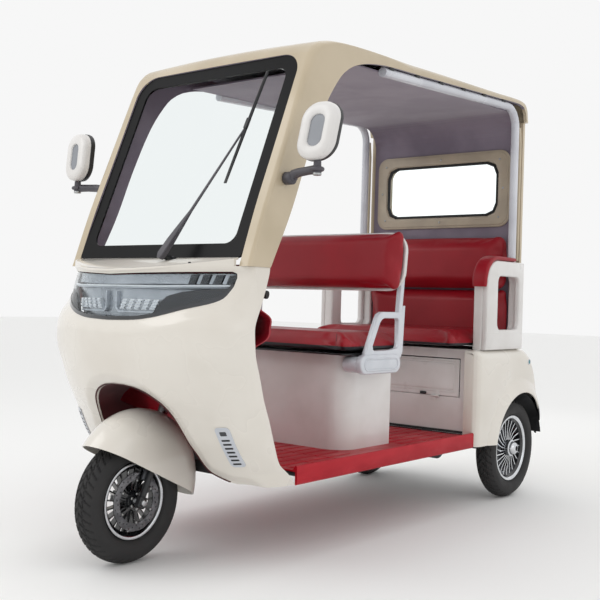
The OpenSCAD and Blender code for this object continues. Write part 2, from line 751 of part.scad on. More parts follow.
function fender_ring(st, t) =
    let (w = st[2] - t, top = st[1] - t, r = max(st[4] - t, 3), in = st[3] + t,
         low = cowl_bottom - (t > 0 ? 40 : 0))
    concat([[st[0], in, low], [st[0], in, top]],
        [for (i = [0:fender_edge_steps]) let (a = 90 - 90 * i / fender_edge_steps)
            [st[0], w - r + r * cos(a), top - r + r * sin(a)]],
        [[st[0], w, low]]);
module fender_body(t) {
    m = len(fender_stations) - 1;
    loft([for (i = [0:m]) let (st = fender_stations[i], dx = t > 0 ? (i == 0 ? -t : (i == m ? t : 0)) : 0,
        step = t > 0 && (i == 3 || i == 4) ? -t : 0)
        fender_ring([st[0] + dx + step, st[1], st[2], st[3], st[4]], t)]);
}
module rear_fenders() {
    color("#eeebe3") mirrored() difference() {
        fender_body(0);
        fender_body(wall_t);
        translate([-wheelbase, fender_in + wall_t + 1, axle_z]) rotate([-90, 0, 0])
            cylinder(r = arch_r, h = 300);
        translate([-wheelbase, fender_in - 50, axle_z]) rotate([-90, 0, 0]) cylinder(r = 110, h = 100);
        translate([-wheelbase - 110, fender_in - 50, axle_z - 200]) cube([220, 100, 200]);
    }
}
// Tail panel between the fenders, following their rear outline, with the wall's foot at its top
tail_half = fender_in - seat;
tail_top_x = wall_x - liner_t - 2 * seat - rear_wall_t;
tail_line = [[tail_top_x, bench_top - 8], [-wheelbase - 101, bench_top - 30],
    [-wheelbase - 155, bench_top - 86], [-wheelbase - 195, 600],
    [-wheelbase - 237, 480], [-wheelbase - 255, 410]];
module tail_panel() {
    m = len(tail_line) - 1;
    inner = [for (i = [m:-1:0]) tail_line[i] + [wall_t, i == m ? 0 : -wall_t]];
    color("#e6e2d8") across(-tail_half, tail_half) polygon(concat(tail_line, inner));
}
lamp_back = [for (i = [3, 4]) tail_line[i]];
module tail_lamps() {
    d = lamp_back[1] - lamp_back[0];
    n = [d[1], -d[0]] / norm(d);
    a = lamp_back[0] + d * 0.15 + n * seat;
    b = lamp_back[0] + d * 0.75 + n * seat;
    color("#a01018") mirrored() across(200, 310) polygon([a, b, b + n * 12, a + n * 12]);
}

// Armrests
arm_front = floor_rear - 64;
arm_back = wall_x + 8;
arm_in = 424;
arm_out = 500;
arm_bend = 110;
pad_t = 26;
module arm_outline() {
    difference() {
        polygon(concat([[arm_back, bench_top + seat], [arm_front, bench_top + seat]],
            arc(arm_front - arm_bend, arm_top - arm_bend, arm_bend, 0, 90, 8), [[arm_back, arm_top]]));
        translate([arm_back + 46, bench_top + 98])
            rounded_rect(arm_front - arm_back - 156, arm_top - bench_top - 173, 30);
    }
}
module armrests() { color("#e7e5e2") mirrored() across(arm_in, arm_out) arm_outline(); }
module armrest_pads() {
    pad_end = post_x + rail_r + free;
    pad_low = arm_top - arm_bend - 22;
    color("#a3172a") mirrored() across(arm_in, arm_out) polygon(concat(
        [[pad_end, arm_top + seat], [pad_end, arm_top + pad_t]],
        arc(arm_front - arm_bend, arm_top - arm_bend, arm_bend + pad_t, 90, 0, 8),
        [[arm_front + pad_t, pad_low], [arm_front + seat, pad_low]],
        arc(arm_front - arm_bend, arm_top - arm_bend, arm_bend + seat, 0, 90, 8)));
}

// Mirrors
mirror_c = [-238, 644, 1551];
mirror_turn = 8;
mirror_low = mirror_c[2] - 103;
mirror_foot = [-262, cab_w, 1400];
module on_mirror() { translate(mirror_c) rotate([0, 0, mirror_turn]) rotate([90, 0, 90]) children(); }
module mirror_arms() {
    color("#3c3f44") mirrored() {
        translate(mirror_foot + [0, seat, 0]) rotate([-90, 0, 0]) cylinder(r = 22, h = 40);
        translate(mirror_foot + [0, 30, 0]) cylinder(r = 17, h = 24);
        bar_between(mirror_foot + [0, 30, 15], [mirror_c[0] - 2, mirror_c[1] - 4, mirror_foot[2] + 20], 13);
        translate([mirror_c[0] + 2, mirror_c[1], mirror_foot[2] + 4])
            cylinder(r = 16, h = mirror_low - mirror_foot[2] - 4 - seat);
    }
}
module mirror_housings() {
    color("#f2f1ee") mirrored() on_mirror() translate([0, 0, -28]) linear_extrude(50) stadium(132, 206);
}
module mirror_glasses() {
    color("#8b9299") mirrored() on_mirror() translate([0, 0, -31 - seat])
        linear_extrude(3) stadium(112, 186);
}

// Wiper in front of the windshield: hub on a slanted boss, arm dipping towards the blade
wiper_pivot_y = 124;
wiper_lift = 64;
wiper_angle = -15;
blade_angle = -4.5;
arm_len = 585;
blade_lift = free + 2;
module on_wiper() { on_glass() translate([wiper_pivot_y, -22, 0]) children(); }
module wiper() {
    dip = atan2(wiper_lift + 5 - blade_lift, arm_len);
    color("#17181a") on_wiper() rotate([0, 0, wiper_angle]) {
        translate([0, 0, wiper_lift]) cylinder(r = 13, h = 16);
        translate([-7, 0, wiper_lift + 4]) rotate([-dip, 0, 0]) cube([14, arm_len, 8]);
        translate([0, arm_len - 4, blade_lift]) rotate([0, 0, blade_angle - wiper_angle])
            translate([-8, -250, 0]) cube([16, 478, 10]);
    }
}

// Steering: stem, crown, legs with axle lugs, axle and brake caliper
crown_s = 505;
crown_half = 16;
stem_top = 1085;
axle_s = trail * sin(rake) + front_tyre_r * cos(rake);
axle_off = front_tyre_r * sin(rake) - trail * cos(rake);
disc_y = 44;
disc_t = 4;
disc_r = 108;
module fork() {
    leg_top = crown_s + crown_half - axle_s - 2;
    lug_in = fork_leg_y - fork_leg_r;
    color("#1b1c1f") union() {
        on_steering(0) {
            translate([0, 0, crown_s]) cylinder(r = stem_r, h = stem_top - crown_s);
            translate([0, 0, head_low - 14]) cylinder(r = 27, h = 14 - seat);
            translate([-30, -fork_leg_y - 15, crown_s - crown_half])
                cube([46 + axle_off, 2 * fork_leg_y + 30, 2 * crown_half]);
            mirrored() translate([axle_off, fork_leg_y, axle_s]) {
                translate([0, 0, 8]) cylinder(r = fork_leg_r, h = leg_top - 8);
                translate([-18, -fork_leg_r, -22]) cube([36, 2 * fork_leg_r + 2, 44]);
            }
            translate([axle_off, 0, axle_s]) rotate([90, 0, 0]) translate([0, 0, -fork_leg_y - 20])
                cylinder(r = shaft_r, h = 2 * (fork_leg_y + 20));
            difference() {
                translate([axle_off - 24, disc_y - 14, axle_s + 76])
                    cube([48, lug_in + 6 - disc_y + 14, 40]);
                translate([axle_off - 30, disc_y - disc_t / 2 - free, axle_s + 60])
                    cube([60, disc_t + 2 * free, disc_r + free - 60 - 4]);
            }
        }
    }
}
fender_cx = -35;
fender_cz = 290;
fender_t = 4;
fender_cut = 26;
module fender_turn(t) {
    r = fender_w - t;
    translate([fender_cx, 0, fender_cz]) rotate([90, 0, 0]) rotate_extrude($fn = 72) intersection() {
        union() {
            translate([fender_r - fender_w, 0]) circle(r);
            translate([0, -r]) square([fender_r - fender_w, 2 * r]);
        }
        translate([0, -200]) square([400, 400]);
    }
}
module front_fender() {
    color("#efece4") difference() {
        fender_turn(0);
        fender_turn(fender_t);
        translate([fender_cx, 0, fender_cz + 42]) rotate([0, -fender_cut, 0]) translate([-500, -200, -500])
            cube([1000, 400, 500]);
        on_steering(crown_s) cylinder(r = stem_r + seat, h = 200);
    }
}
bar_up = 20;
module handlebar() {
    color("#232428") on_steering(stem_top) {
        translate([0, 0, seat]) cylinder(r = 26, h = 36);
        mirrored() bar_between([0, 0, bar_up], [-20, 150, bar_up], 11);
        mirrored() bar_between([-20, 150, bar_up], [-55, handlebar_w, bar_up], 16);
        rounded_box(-34, 56, -95, 95, 34, 70, 20);
    }
}

// Wheels, drawn round their own centre with the axle along y
module tyre(r, rim_r) {
    w = tyre_w / 2;
    rotate([90, 0, 0]) rotate_extrude($fn = 72) {
        translate([rim_r - 8, -rim_w / 2 + 6]) square([r - rim_r - 20, rim_w - 12]);
        polygon([[rim_r + 0.5, -rim_w / 2 + 8], [rim_r + 12, -w + 6], [rim_r + 34, -w], [r - 30, -w + 3],
            [r - 8, -w + 22], [r, -12], [r, 12], [r - 8, w - 22], [r - 30, w - 3], [rim_r + 34, w],
            [rim_r + 12, w - 6], [rim_r + 0.5, rim_w / 2 - 8]]);
    }
}
module rim(rim_r, spokes, blade) {
    w = rim_w / 2;
    rotate([90, 0, 0]) {
        rotate_extrude($fn = 72) polygon([
            [rim_r - 26, -w + 16], [rim_r - 14, -w + 4], [rim_r - 10, -w], [rim_r, -w],
            [rim_r, -w + 6 - seat], [rim_r - 8 - seat, -w + 6 - seat],
            [rim_r - 8 - seat, w - 6 + seat], [rim_r, w - 6 + seat], [rim_r, w],
            [rim_r - 10, w], [rim_r - 14, w - 4], [rim_r - 26, w - 16]]);
        difference() {
            union() {
                translate([0, 0, -hub_half]) cylinder(r = hub_r, h = 2 * hub_half);
                for (i = [0:spokes - 1]) rotate([0, 0, 360 * i / spokes])
                    translate([hub_r - 4, -blade / 2, -16]) cube([rim_r - 20 - hub_r + 4, blade, 32]);
            }
            translate([0, 0, -hub_half - 1]) cylinder(r = shaft_r + run, h = 2 * hub_half + 2);
        }
    }
}
module front_rim() { color("#2a2b2e") translate([0, 0, front_tyre_r]) rim(front_rim_r, front_spokes, 6); }
module front_tyre() { color("#151517") translate([0, 0, front_tyre_r]) tyre(front_tyre_r, front_rim_r); }
module brake_disc() {
    color("#77706a") translate([0, disc_y + disc_t / 2, front_tyre_r]) rotate([90, 0, 0]) difference() {
        union() {
            difference() {
                cylinder(r = disc_r, h = disc_t);
                translate([0, 0, -1]) cylinder(r = 78, h = disc_t + 2);
            }
            cylinder(r = hub_r - 2, h = disc_t);
            for (i = [0:5]) rotate([0, 0, 60 * i + 30]) translate([20, -7, 0]) cube([62, 14, disc_t]);
        }
        translate([0, 0, -1]) cylinder(r = shaft_r + free, h = disc_t + 2);
    }
}
module rear_wheel_place(s) { translate([-wheelbase, s * rear_wheel_y, rear_tyre_r]) children(); }
module rear_rim_left() { color("#c4c7cb") rear_wheel_place(1) rim(rear_rim_r, rear_spokes, 5); }
module rear_rim_right() { color("#c4c7cb") rear_wheel_place(-1) rim(rear_rim_r, rear_spokes, 5); }
module rear_tyre_left() { color("#151517") rear_wheel_place(1) tyre(rear_tyre_r, rear_rim_r); }
module rear_tyre_right() { color("#151517") rear_wheel_place(-1) tyre(rear_tyre_r, rear_rim_r); }

place() chassis_frame();
place() rear_axle();
place() drive_motor();
place() leaf_springs();
place() battery_pack();
place() floor_pan();
place() front_cowl();
place() inner_cowl();
place() headlamp_housing();
place() headlamp_lens();
place() cowl_vents();
place() windshield_border();
place() cab_glass();
place() roof_shell();
place() cab_liner();
place() cab_rails();
place() rear_wall();
place() rear_window_trim();
place() rear_fenders();
place() tail_panel();
place() tail_lamps();
place() armrests();
place() armrest_pads();
place() driver_seat_box();
place() driver_seat_cushion();
place() driver_backrest();
place() driver_backrest_shell();
place() seat_brackets();
place() rear_seat_box();
place() rear_box_door();
place() rear_seat_cushion();
place() rear_backrests();
place() mirror_arms();
place() mirror_housings();
place() mirror_glasses();
place() wiper();
place() fork();
place() front_fender();
place() handlebar();
place() front_rim();
place() front_tyre();
place() brake_disc();
place() rear_rim_left();
place() rear_rim_right();
place() rear_tyre_left();
place() rear_tyre_right();
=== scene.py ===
"""Looks of an electric passenger tricycle with a full cab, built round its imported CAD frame."""
import math

import bmesh
import bpy
import numpy as np
from mathutils import Matrix, Vector, noise


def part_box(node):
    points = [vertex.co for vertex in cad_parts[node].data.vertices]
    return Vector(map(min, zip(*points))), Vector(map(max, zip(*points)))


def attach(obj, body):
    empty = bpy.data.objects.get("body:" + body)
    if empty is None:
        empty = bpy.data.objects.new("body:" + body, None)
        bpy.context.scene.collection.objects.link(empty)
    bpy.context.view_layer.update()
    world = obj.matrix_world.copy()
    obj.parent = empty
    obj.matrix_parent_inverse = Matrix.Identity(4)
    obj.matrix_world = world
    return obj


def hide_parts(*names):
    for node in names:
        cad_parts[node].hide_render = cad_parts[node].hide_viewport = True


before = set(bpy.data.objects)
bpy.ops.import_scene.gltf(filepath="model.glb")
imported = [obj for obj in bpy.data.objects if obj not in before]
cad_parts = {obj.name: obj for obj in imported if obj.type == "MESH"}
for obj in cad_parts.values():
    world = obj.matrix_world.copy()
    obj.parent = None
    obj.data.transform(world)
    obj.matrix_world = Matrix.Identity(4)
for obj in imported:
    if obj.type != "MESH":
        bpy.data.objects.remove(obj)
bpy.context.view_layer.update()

bl_info = {
    "name": "Electric Tricycle Dresser",
    "version": (1, 0, 0),
    "blender": (4, 5, 0),
    "location": "3D View > Sidebar > Tricycle",
    "description": "Paint, seats, lamps, tyres and trim for a full-cab electric tricycle",
    "category": "Object",
}


def middle(node):
    low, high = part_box(node)
    return (low + high) / 2


# Millimetres ahead of the front axle, left of the middle and above the ground are the part's own measure
AXLE_X = middle("front_rim").x * 1000
FRONT_R = middle("front_rim").z * 1000
REAR_R = middle("rear_rim_left").z * 1000
REAR_X = middle("rear_rim_left").x * 1000 - AXLE_X
REAR_Y = middle("rear_rim_left").y * 1000
FLOOR_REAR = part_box("floor_pan")[0].x * 1000 - AXLE_X
WALL_X = REAR_X - 17
GLASS_FOOT = Vector((-94, 0, 1113))
GLASS_LEAN = math.radians(21.95)
GLASS_HALF = 433
GLASS_LEN = 834


def at(x, y, z):
    """A point given in the part's own millimetres, in the frame's metres."""
    return Vector(((x + AXLE_X) / 1000, y / 1000, z / 1000))


# ---------------------------------------------------------------- mesh helpers

def linear(colour):
    """A linear RGBA colour from an sRGB hex value such as "#efece4"."""
    parts = [int(colour[i:i + 2], 16) / 255 for i in (1, 3, 5)]
    return tuple(c / 12.92 if c <= 0.04045 else ((c + 0.055) / 1.055) ** 2.4 for c in parts) + (1.0,)


def solid(name, verts, faces, materials, smooth=True, index=None):
    """A new mesh object from points in the part's millimetres."""
    mesh = bpy.data.meshes.new(name)
    mesh.from_pydata([at(*v) for v in verts], [], faces)
    for material in materials:
        mesh.materials.append(material)
    mesh.polygons.foreach_set("use_smooth", [smooth] * len(mesh.polygons))
    if index is not None:
        mesh.polygons.foreach_set("material_index", index)
    mesh.update()
    obj = bpy.data.objects.new(name, mesh)
    bpy.context.scene.collection.objects.link(obj)
    return obj


def settle(obj):
    """Writes an object's modifiers into its mesh."""
    graph = bpy.context.evaluated_depsgraph_get()
    made = bpy.data.meshes.new_from_object(obj.evaluated_get(graph))
    old = obj.data
    obj.modifiers.clear()
    obj.data = made
    bpy.data.meshes.remove(old)
    return obj


def crease(obj, degrees=32):
    obj.data.polygons.foreach_set("use_smooth", [True] * len(obj.data.polygons))
    obj.data.set_sharp_from_angle(angle=math.radians(degrees))
    return obj


def outward(obj):
    work = bmesh.new()
    work.from_mesh(obj.data)
    bmesh.ops.remove_doubles(work, verts=work.verts, dist=1e-6)
    bmesh.ops.recalc_face_normals(work, faces=work.faces)
    work.to_mesh(obj.data)
    work.free()
    return obj


def bevel(obj, width, segments=3, degrees=35):
    """Rounds the edges that turn by more than the given angle; width in millimetres."""
    rounding = obj.modifiers.new("edge", "BEVEL")
    rounding.width = width / 1000
    rounding.segments = segments
    rounding.limit_method = "ANGLE"
    rounding.angle_limit = math.radians(degrees)
    rounding.use_clamp_overlap = True
    settle(obj)
    return crease(obj, 50)


def carve(obj, cutter):
    """Takes the cutter's volume away from obj, and deletes the cutter."""
    change = obj.modifiers.new("carve", "BOOLEAN")
    change.operation = "DIFFERENCE"
    change.solver = "EXACT"
    change.object = cutter
    settle(obj)
    shape = cutter.data
    bpy.data.objects.remove(cutter)
    bpy.data.meshes.remove(shape)
    return obj


def rings_to_faces(rows, columns, wrap_rows=False, wrap_columns=False):
    """Quads of a grid of points listed row by row."""
    faces = []
    for i in range(rows if wrap_rows else rows - 1):
        for j in range(columns if wrap_columns else columns - 1):
            a, b = (i + 1) % rows * columns, (j + 1) % columns
            faces.append((i * columns + j, i * columns + b, a + b, a + j))
    return faces


def loft(name, rings, materials, caps=True, wrap=False):
    """A closed skin through rings of equal length; wrap joins the last ring to the first."""
    count, width = len(rings), len(rings[0])
    verts = [p for ring in rings for p in ring]
    faces = rings_to_faces(count, width, wrap, True)
    if caps and not wrap:
        faces.append(tuple(range(width)))
        faces.append(tuple((count - 1) * width + j for j in reversed(range(width))))
    return outward(solid(name, verts, faces, materials))


def prism(name, outline, place, depth, materials=()):
    """A straight prism: place(u, v, w) maps the outline's plane and its depth to the part's millimetres."""
    count = len(outline)
    verts = [place(u, v, w) for w in depth for u, v in outline]
    faces = rings_to_faces(2, count, False, True)
    faces += [tuple(range(count)), tuple(reversed(range(count, 2 * count)))]
    return outward(solid(name, verts, faces, materials, smooth=False))


def tube(name, path, radius, materials, sides=16):
    """A round bar along points; radius is one number or one for each point."""
    points = [Vector(p) for p in path]
    radii = radius if hasattr(radius, "__len__") else [radius] * len(points)
    up = None
    rings = []
    for i, p in enumerate(points):
        heading = (points[min(i + 1, len(points) - 1)] - points[max(i - 1, 0)]).normalized()
        if up is None:
            up = heading.orthogonal().normalized()
        up = (up - heading * up.dot(heading)).normalized()
        side = heading.cross(up)
        rings.append([p + radii[i] * (up * math.cos(a) + side * math.sin(a))
                      for a in (2 * math.pi * k / sides for k in range(sides))])
    return crease(loft(name, rings, materials), 45)


def lathe(name, profile, centre, materials, steps=96, axis="y", index=None):
    """A closed ring turned from (radius, offset along the axis) points about a centre."""
    width = len(profile)
    verts = []
    for i in range(steps):
        a = 2 * math.pi * i / steps
        for r, w in profile:
            if axis == "y":
                verts.append((centre[0] + r * math.cos(a), centre[1] + w, centre[2] + r * math.sin(a)))
            elif axis == "x":
                verts.append((centre[0] + w, centre[1] + r * math.cos(a), centre[2] + r * math.sin(a)))
            else:
                verts.append((centre[0] + r * math.cos(a), centre[1] + r * math.sin(a), centre[2] + w))
    return outward(solid(name, verts, rings_to_faces(steps, width, True, True), materials,
                         index=None if index is None else index * steps))


def button(name, centre, radius, low, high, round_off, materials, axis="y", steps=32):
    """A turned disc or pin with rounded ends, drawn as a lathe that meets its own axis."""
    profile = [(0.01, low), (radius - round_off, low), (radius, low + round_off),
               (radius, high - round_off), (radius - round_off, high), (0.01, high)]
    return crease(lathe(name, profile, centre, materials, steps, axis), 50)


def plate(name, outlines, thickness, edge, turn, materials):
    """A flat plate with holes and rounded edges, first outline outside; turn places its middle plane."""
    curve = bpy.data.curves.new(name, "CURVE")
    curve.dimensions = "2D"
    curve.fill_mode = "BOTH"
    for outline in outlines:
        line = curve.splines.new("POLY")
        line.points.add(len(outline) - 1)
        for point, (u, v) in zip(line.points, outline):
            point.co = (u / 1000, v / 1000, 0, 1)
        line.use_cyclic_u = True
    curve.extrude = (thickness / 2 - edge) / 1000
    curve.bevel_depth = edge / 1000
    curve.bevel_resolution = 2
    curve.offset = -edge / 1000
    holder = bpy.data.objects.new(name + ".curve", curve)
    bpy.context.scene.collection.objects.link(holder)
    graph = bpy.context.evaluated_depsgraph_get()
    mesh = bpy.data.meshes.new_from_object(holder.evaluated_get(graph))
    bpy.data.objects.remove(holder)
    bpy.data.curves.remove(curve)
    mesh.name = name
    mesh.materials.clear()
    for material in materials:
        mesh.materials.append(material)
    mesh.transform(turn)
    obj = bpy.data.objects.new(name, mesh)
    bpy.context.scene.collection.objects.link(obj)
    outward(obj)
    return crease(obj, 40)


def on_side(x, y, z=0):
    """Places a plate drawn in x and z on a plane across the vehicle at y."""
    return Matrix.Translation(at(x, y, z)) @ Matrix.Rotation(math.pi / 2, 4, "X")


def on_face(x, y, z, lean=0.0, turn=0.0):
    """Places a plate drawn in y and z on a plane that faces forward."""
    facing = Matrix(((0, 0, 1, 0), (1, 0, 0, 0), (0, 1, 0, 0), (0, 0, 0, 1)))
    return (Matrix.Translation(at(x, y, z)) @ Matrix.Rotation(turn, 4, "Z")
            @ Matrix.Rotation(-lean, 4, "Y") @ facing)


def rounded(w, h, r, cx=0, cy=0, steps=8):
    """Outline of a rounded rectangle about (cx, cy)."""
    points = []
    for sx, sy, start in ((1, 1, 0), (-1, 1, 90), (-1, -1, 180), (1, -1, 270)):
        for i in range(steps + 1):
            a = math.radians(start + 90 * i / steps)
            points.append((cx + sx * (w / 2 - r) + r * math.cos(a), cy + sy * (h / 2 - r) + r * math.sin(a)))
    return points


def arc(cx, cy, r, a0, a1, steps):
    return [(cx + r * math.cos(math.radians(a0 + (a1 - a0) * i / steps)),
             cy + r * math.sin(math.radians(a0 + (a1 - a0) * i / steps))) for i in range(steps + 1)]


def smooth_column(known, values, wanted):
    """Values at new places on a smooth curve that doesn't overshoot the known points."""
    x, y = np.array(known, float), np.array(values, float)
    h, d = np.diff(x), np.diff(y) / np.diff(x)
    slope = np.zeros(len(x))
    slope[0], slope[-1] = d[0], d[-1]
    for i in range(1, len(x) - 1):
        if d[i - 1] * d[i] > 0:
            a, b = 2 * h[i] + h[i - 1], h[i] + 2 * h[i - 1]
            slope[i] = (a + b) / (a / d[i - 1] + b / d[i])
    k = np.clip(np.searchsorted(x, wanted) - 1, 0, len(h) - 1)
    t = (np.array(wanted) - x[k]) / h[k]
    return ((1 + 2 * t) * (1 - t) ** 2 * y[k] + t * (1 - t) ** 2 * h[k] * slope[k]
            + t * t * (3 - 2 * t) * y[k + 1] + t * t * (t - 1) * h[k] * slope[k + 1])


def smooth_table(rows, wanted, key=0):
    """Every column of a table of stations, read at new places along its key column."""
    known = [row[key] for row in rows]
    return np.array([smooth_column(known, [row[c] for row in rows], wanted)
                     for c in range(len(rows[0]))]).T


def distance_to(line, points):
    """Distance of each 2-D point from a polyline."""
    line, points = np.array(line, float), np.array(points, float)
    best = np.full(len(points), 1e9)
    for a, b in zip(line[:-1], line[1:]):
        d = b - a
        t = np.clip(((points - a) @ d) / (d @ d), 0, 1)
        best = np.minimum(best, np.linalg.norm(points - a - t[:, None] * d, axis=1))
    return best


def inside(outline, points):
    """Which 2-D points lie inside an outline."""
    outline, points = np.array(outline, float), np.array(points, float)
    found = np.zeros(len(points), bool)
    for (x0, y0), (x1, y1) in zip(outline, np.roll(outline, -1, axis=0)):
        crosses = (y0 > points[:, 1]) != (y1 > points[:, 1])
        if y1 != y0:
            found ^= crosses & (points[:, 0] < (x1 - x0) * (points[:, 1] - y0) / (y1 - y0) + x0)
    return found


def finish_piece(obj, body, nodes=()):
    """Rides a piece on its body and hides the CAD nodes that it stands for."""
    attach(obj, body)
    if nodes:
        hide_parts(*nodes)
    return obj


def join(name, parts):
    """One object from several, with their materials kept."""
    work = bmesh.new()
    materials = []
    for part in parts:
        lookup = []
        for material in part.data.materials:
            if material not in materials:
                materials.append(material)
            lookup.append(materials.index(material))
        start = len(work.faces)
        work.from_mesh(part.data)
        work.faces.ensure_lookup_table()
        for face in work.faces[start:]:
            face.material_index = lookup[face.material_index] if lookup else 0
    mesh = bpy.data.meshes.new(name)
    work.to_mesh(mesh)
    work.free()
    for material in materials:
        mesh.materials.append(material)
    obj = bpy.data.objects.new(name, mesh)
    bpy.context.scene.collection.objects.link(obj)
    for part in parts:
        old = part.data
        bpy.data.objects.remove(part)
        bpy.data.meshes.remove(old)
    return obj


def mirrored(obj):
    """Adds the same shape on the other side of the vehicle to the object's mesh."""
    work = bmesh.new()
    work.from_mesh(obj.data)
    copy = bmesh.ops.duplicate(work, geom=work.verts[:] + work.edges[:] + work.faces[:])
    verts = [g for g in copy["geom"] if isinstance(g, bmesh.types.BMVert)]
    faces = [g for g in copy["geom"] if isinstance(g, bmesh.types.BMFace)]
    for v in verts:
        v.co.y = -v.co.y
    bmesh.ops.reverse_faces(work, faces=faces)
    work.to_mesh(obj.data)
    work.free()
    return obj


# ---------------------------------------------------------------- materials

def add(material, kind, links=(), **values):
    """Adds a node to a material: values set its sockets or settings, links join (socket, node, output)."""
    tree = material.node_tree
    made = tree.nodes.new(kind)
    for key, value in values.items():
        socket = made.inputs.get(key.replace("_", " "))
        if socket is not None and not hasattr(type(made), key):
            socket.default_value = value
        else:
            setattr(made, key, value)
    for key, other, output in links:
        tree.links.new(other.outputs[output], made.inputs[key])
    return made


def surface(name, colour, second, roughness, grain_mm, bump, metallic=0.0, coat=0.0, spread=0.06,
            blotch_mm=180, ior=1.5, height_mm=0.15, sheen=0.0, stretch=(1, 1, 1), shine=0.5):
    """A finish with a slow drift between two colours, uneven gloss and a fine surface grain.

    grain_mm is the size of the grain, blotch_mm of the drift and of the worn or dusty patches."""
    material = bpy.data.materials.new(name)
    material.use_nodes = True
    tree = material.node_tree
    tree.nodes.clear()
    output = add(material, "ShaderNodeOutputMaterial")
    place = add(material, "ShaderNodeTexCoord")
    scaled = add(material, "ShaderNodeMapping", [("Vector", place, "Object")], Scale=stretch)
    drift = add(material, "ShaderNodeTexNoise", [("Vector", scaled, "Vector")], Scale=1000 / blotch_mm,
                Detail=3.0, Roughness=0.55)
    fine = add(material, "ShaderNodeTexNoise", [("Vector", scaled, "Vector")], Scale=1000 / grain_mm,
               Detail=2.0, Roughness=0.5)
    ramp = add(material, "ShaderNodeMapRange", [("Value", drift, "Fac")], interpolation_type="SMOOTHSTEP")
    ramp.inputs["From Min"].default_value, ramp.inputs["From Max"].default_value = 0.35, 0.65
    mix = add(material, "ShaderNodeMix", data_type="RGBA")
    mix.inputs[6].default_value, mix.inputs[7].default_value = linear(colour), linear(second)
    tree.links.new(ramp.outputs["Result"], mix.inputs[0])
    gloss = add(material, "ShaderNodeMapRange", [("Value", drift, "Fac")], interpolation_type="SMOOTHSTEP")
    for key, value in (("From Min", 0.3), ("From Max", 0.7), ("To Min", max(roughness - spread, 0.01)),
                       ("To Max", min(roughness + spread, 1.0))):
        gloss.inputs[key].default_value = value
    relief = add(material, "ShaderNodeBump", [("Height", fine, "Fac")], Strength=bump, Distance=height_mm / 1000)
    shader = add(material, "ShaderNodeBsdfPrincipled",
                 [("Roughness", gloss, "Result"), ("Normal", relief, "Normal")], Metallic=metallic, IOR=ior)
    shader.inputs["Coat Weight"].default_value = coat
    shader.inputs["Coat Roughness"].default_value = 0.04
    shader.inputs["Sheen Weight"].default_value = sheen
    shader.inputs["Specular IOR Level"].default_value = shine
    tree.links.new(mix.outputs[2], shader.inputs["Base Color"])
    tree.links.new(shader.outputs["BSDF"], output.inputs["Surface"])
    return material


def leather(name, colour, second):
    """Calendered PVC leathercloth: pebbled grain in shallow relief, folds that catch a soft sheen."""
    material = surface(name, colour, second, 0.42, 3.2, 0.22, coat=0.04, spread=0.05, blotch_mm=240,
                       height_mm=0.25, shine=0.35)
    tree = material.node_tree
    shader = next(n for n in tree.nodes if n.type == "BSDF_PRINCIPLED")
    place = next(n for n in tree.nodes if n.type == "TEX_COORD")
    # Real pebbles are about 1 mm; 3.5 mm is as coarse as they need to be to show
    cells = add(material, "ShaderNodeTexVoronoi", [("Vector", place, "Object")], Scale=1000 / 3.5)
    cells.feature = "DISTANCE_TO_EDGE"
    old = next(n for n in tree.nodes if n.type == "BUMP")
    pebble = add(material, "ShaderNodeBump", [("Height", cells, "Distance"), ("Normal", old, "Normal")],
                 Strength=0.3, Distance=0.0004)
    tree.links.new(pebble.outputs["Normal"], shader.inputs["Normal"])
    return material


def clear(name, colour, roughness=0.02, ior=1.5, alpha=None):
    """A see-through material: thin clear glass, or a tinted moulding where alpha is given."""
    material = surface(name, colour, colour, roughness, 60, 0.02, spread=0.01, ior=ior, height_mm=0.05)
    shader = next(n for n in material.node_tree.nodes if n.type == "BSDF_PRINCIPLED")
    if alpha is None:
        shader.inputs["Transmission Weight"].default_value = 1.0
    else:
        shader.inputs["Alpha"].default_value = alpha
    return material


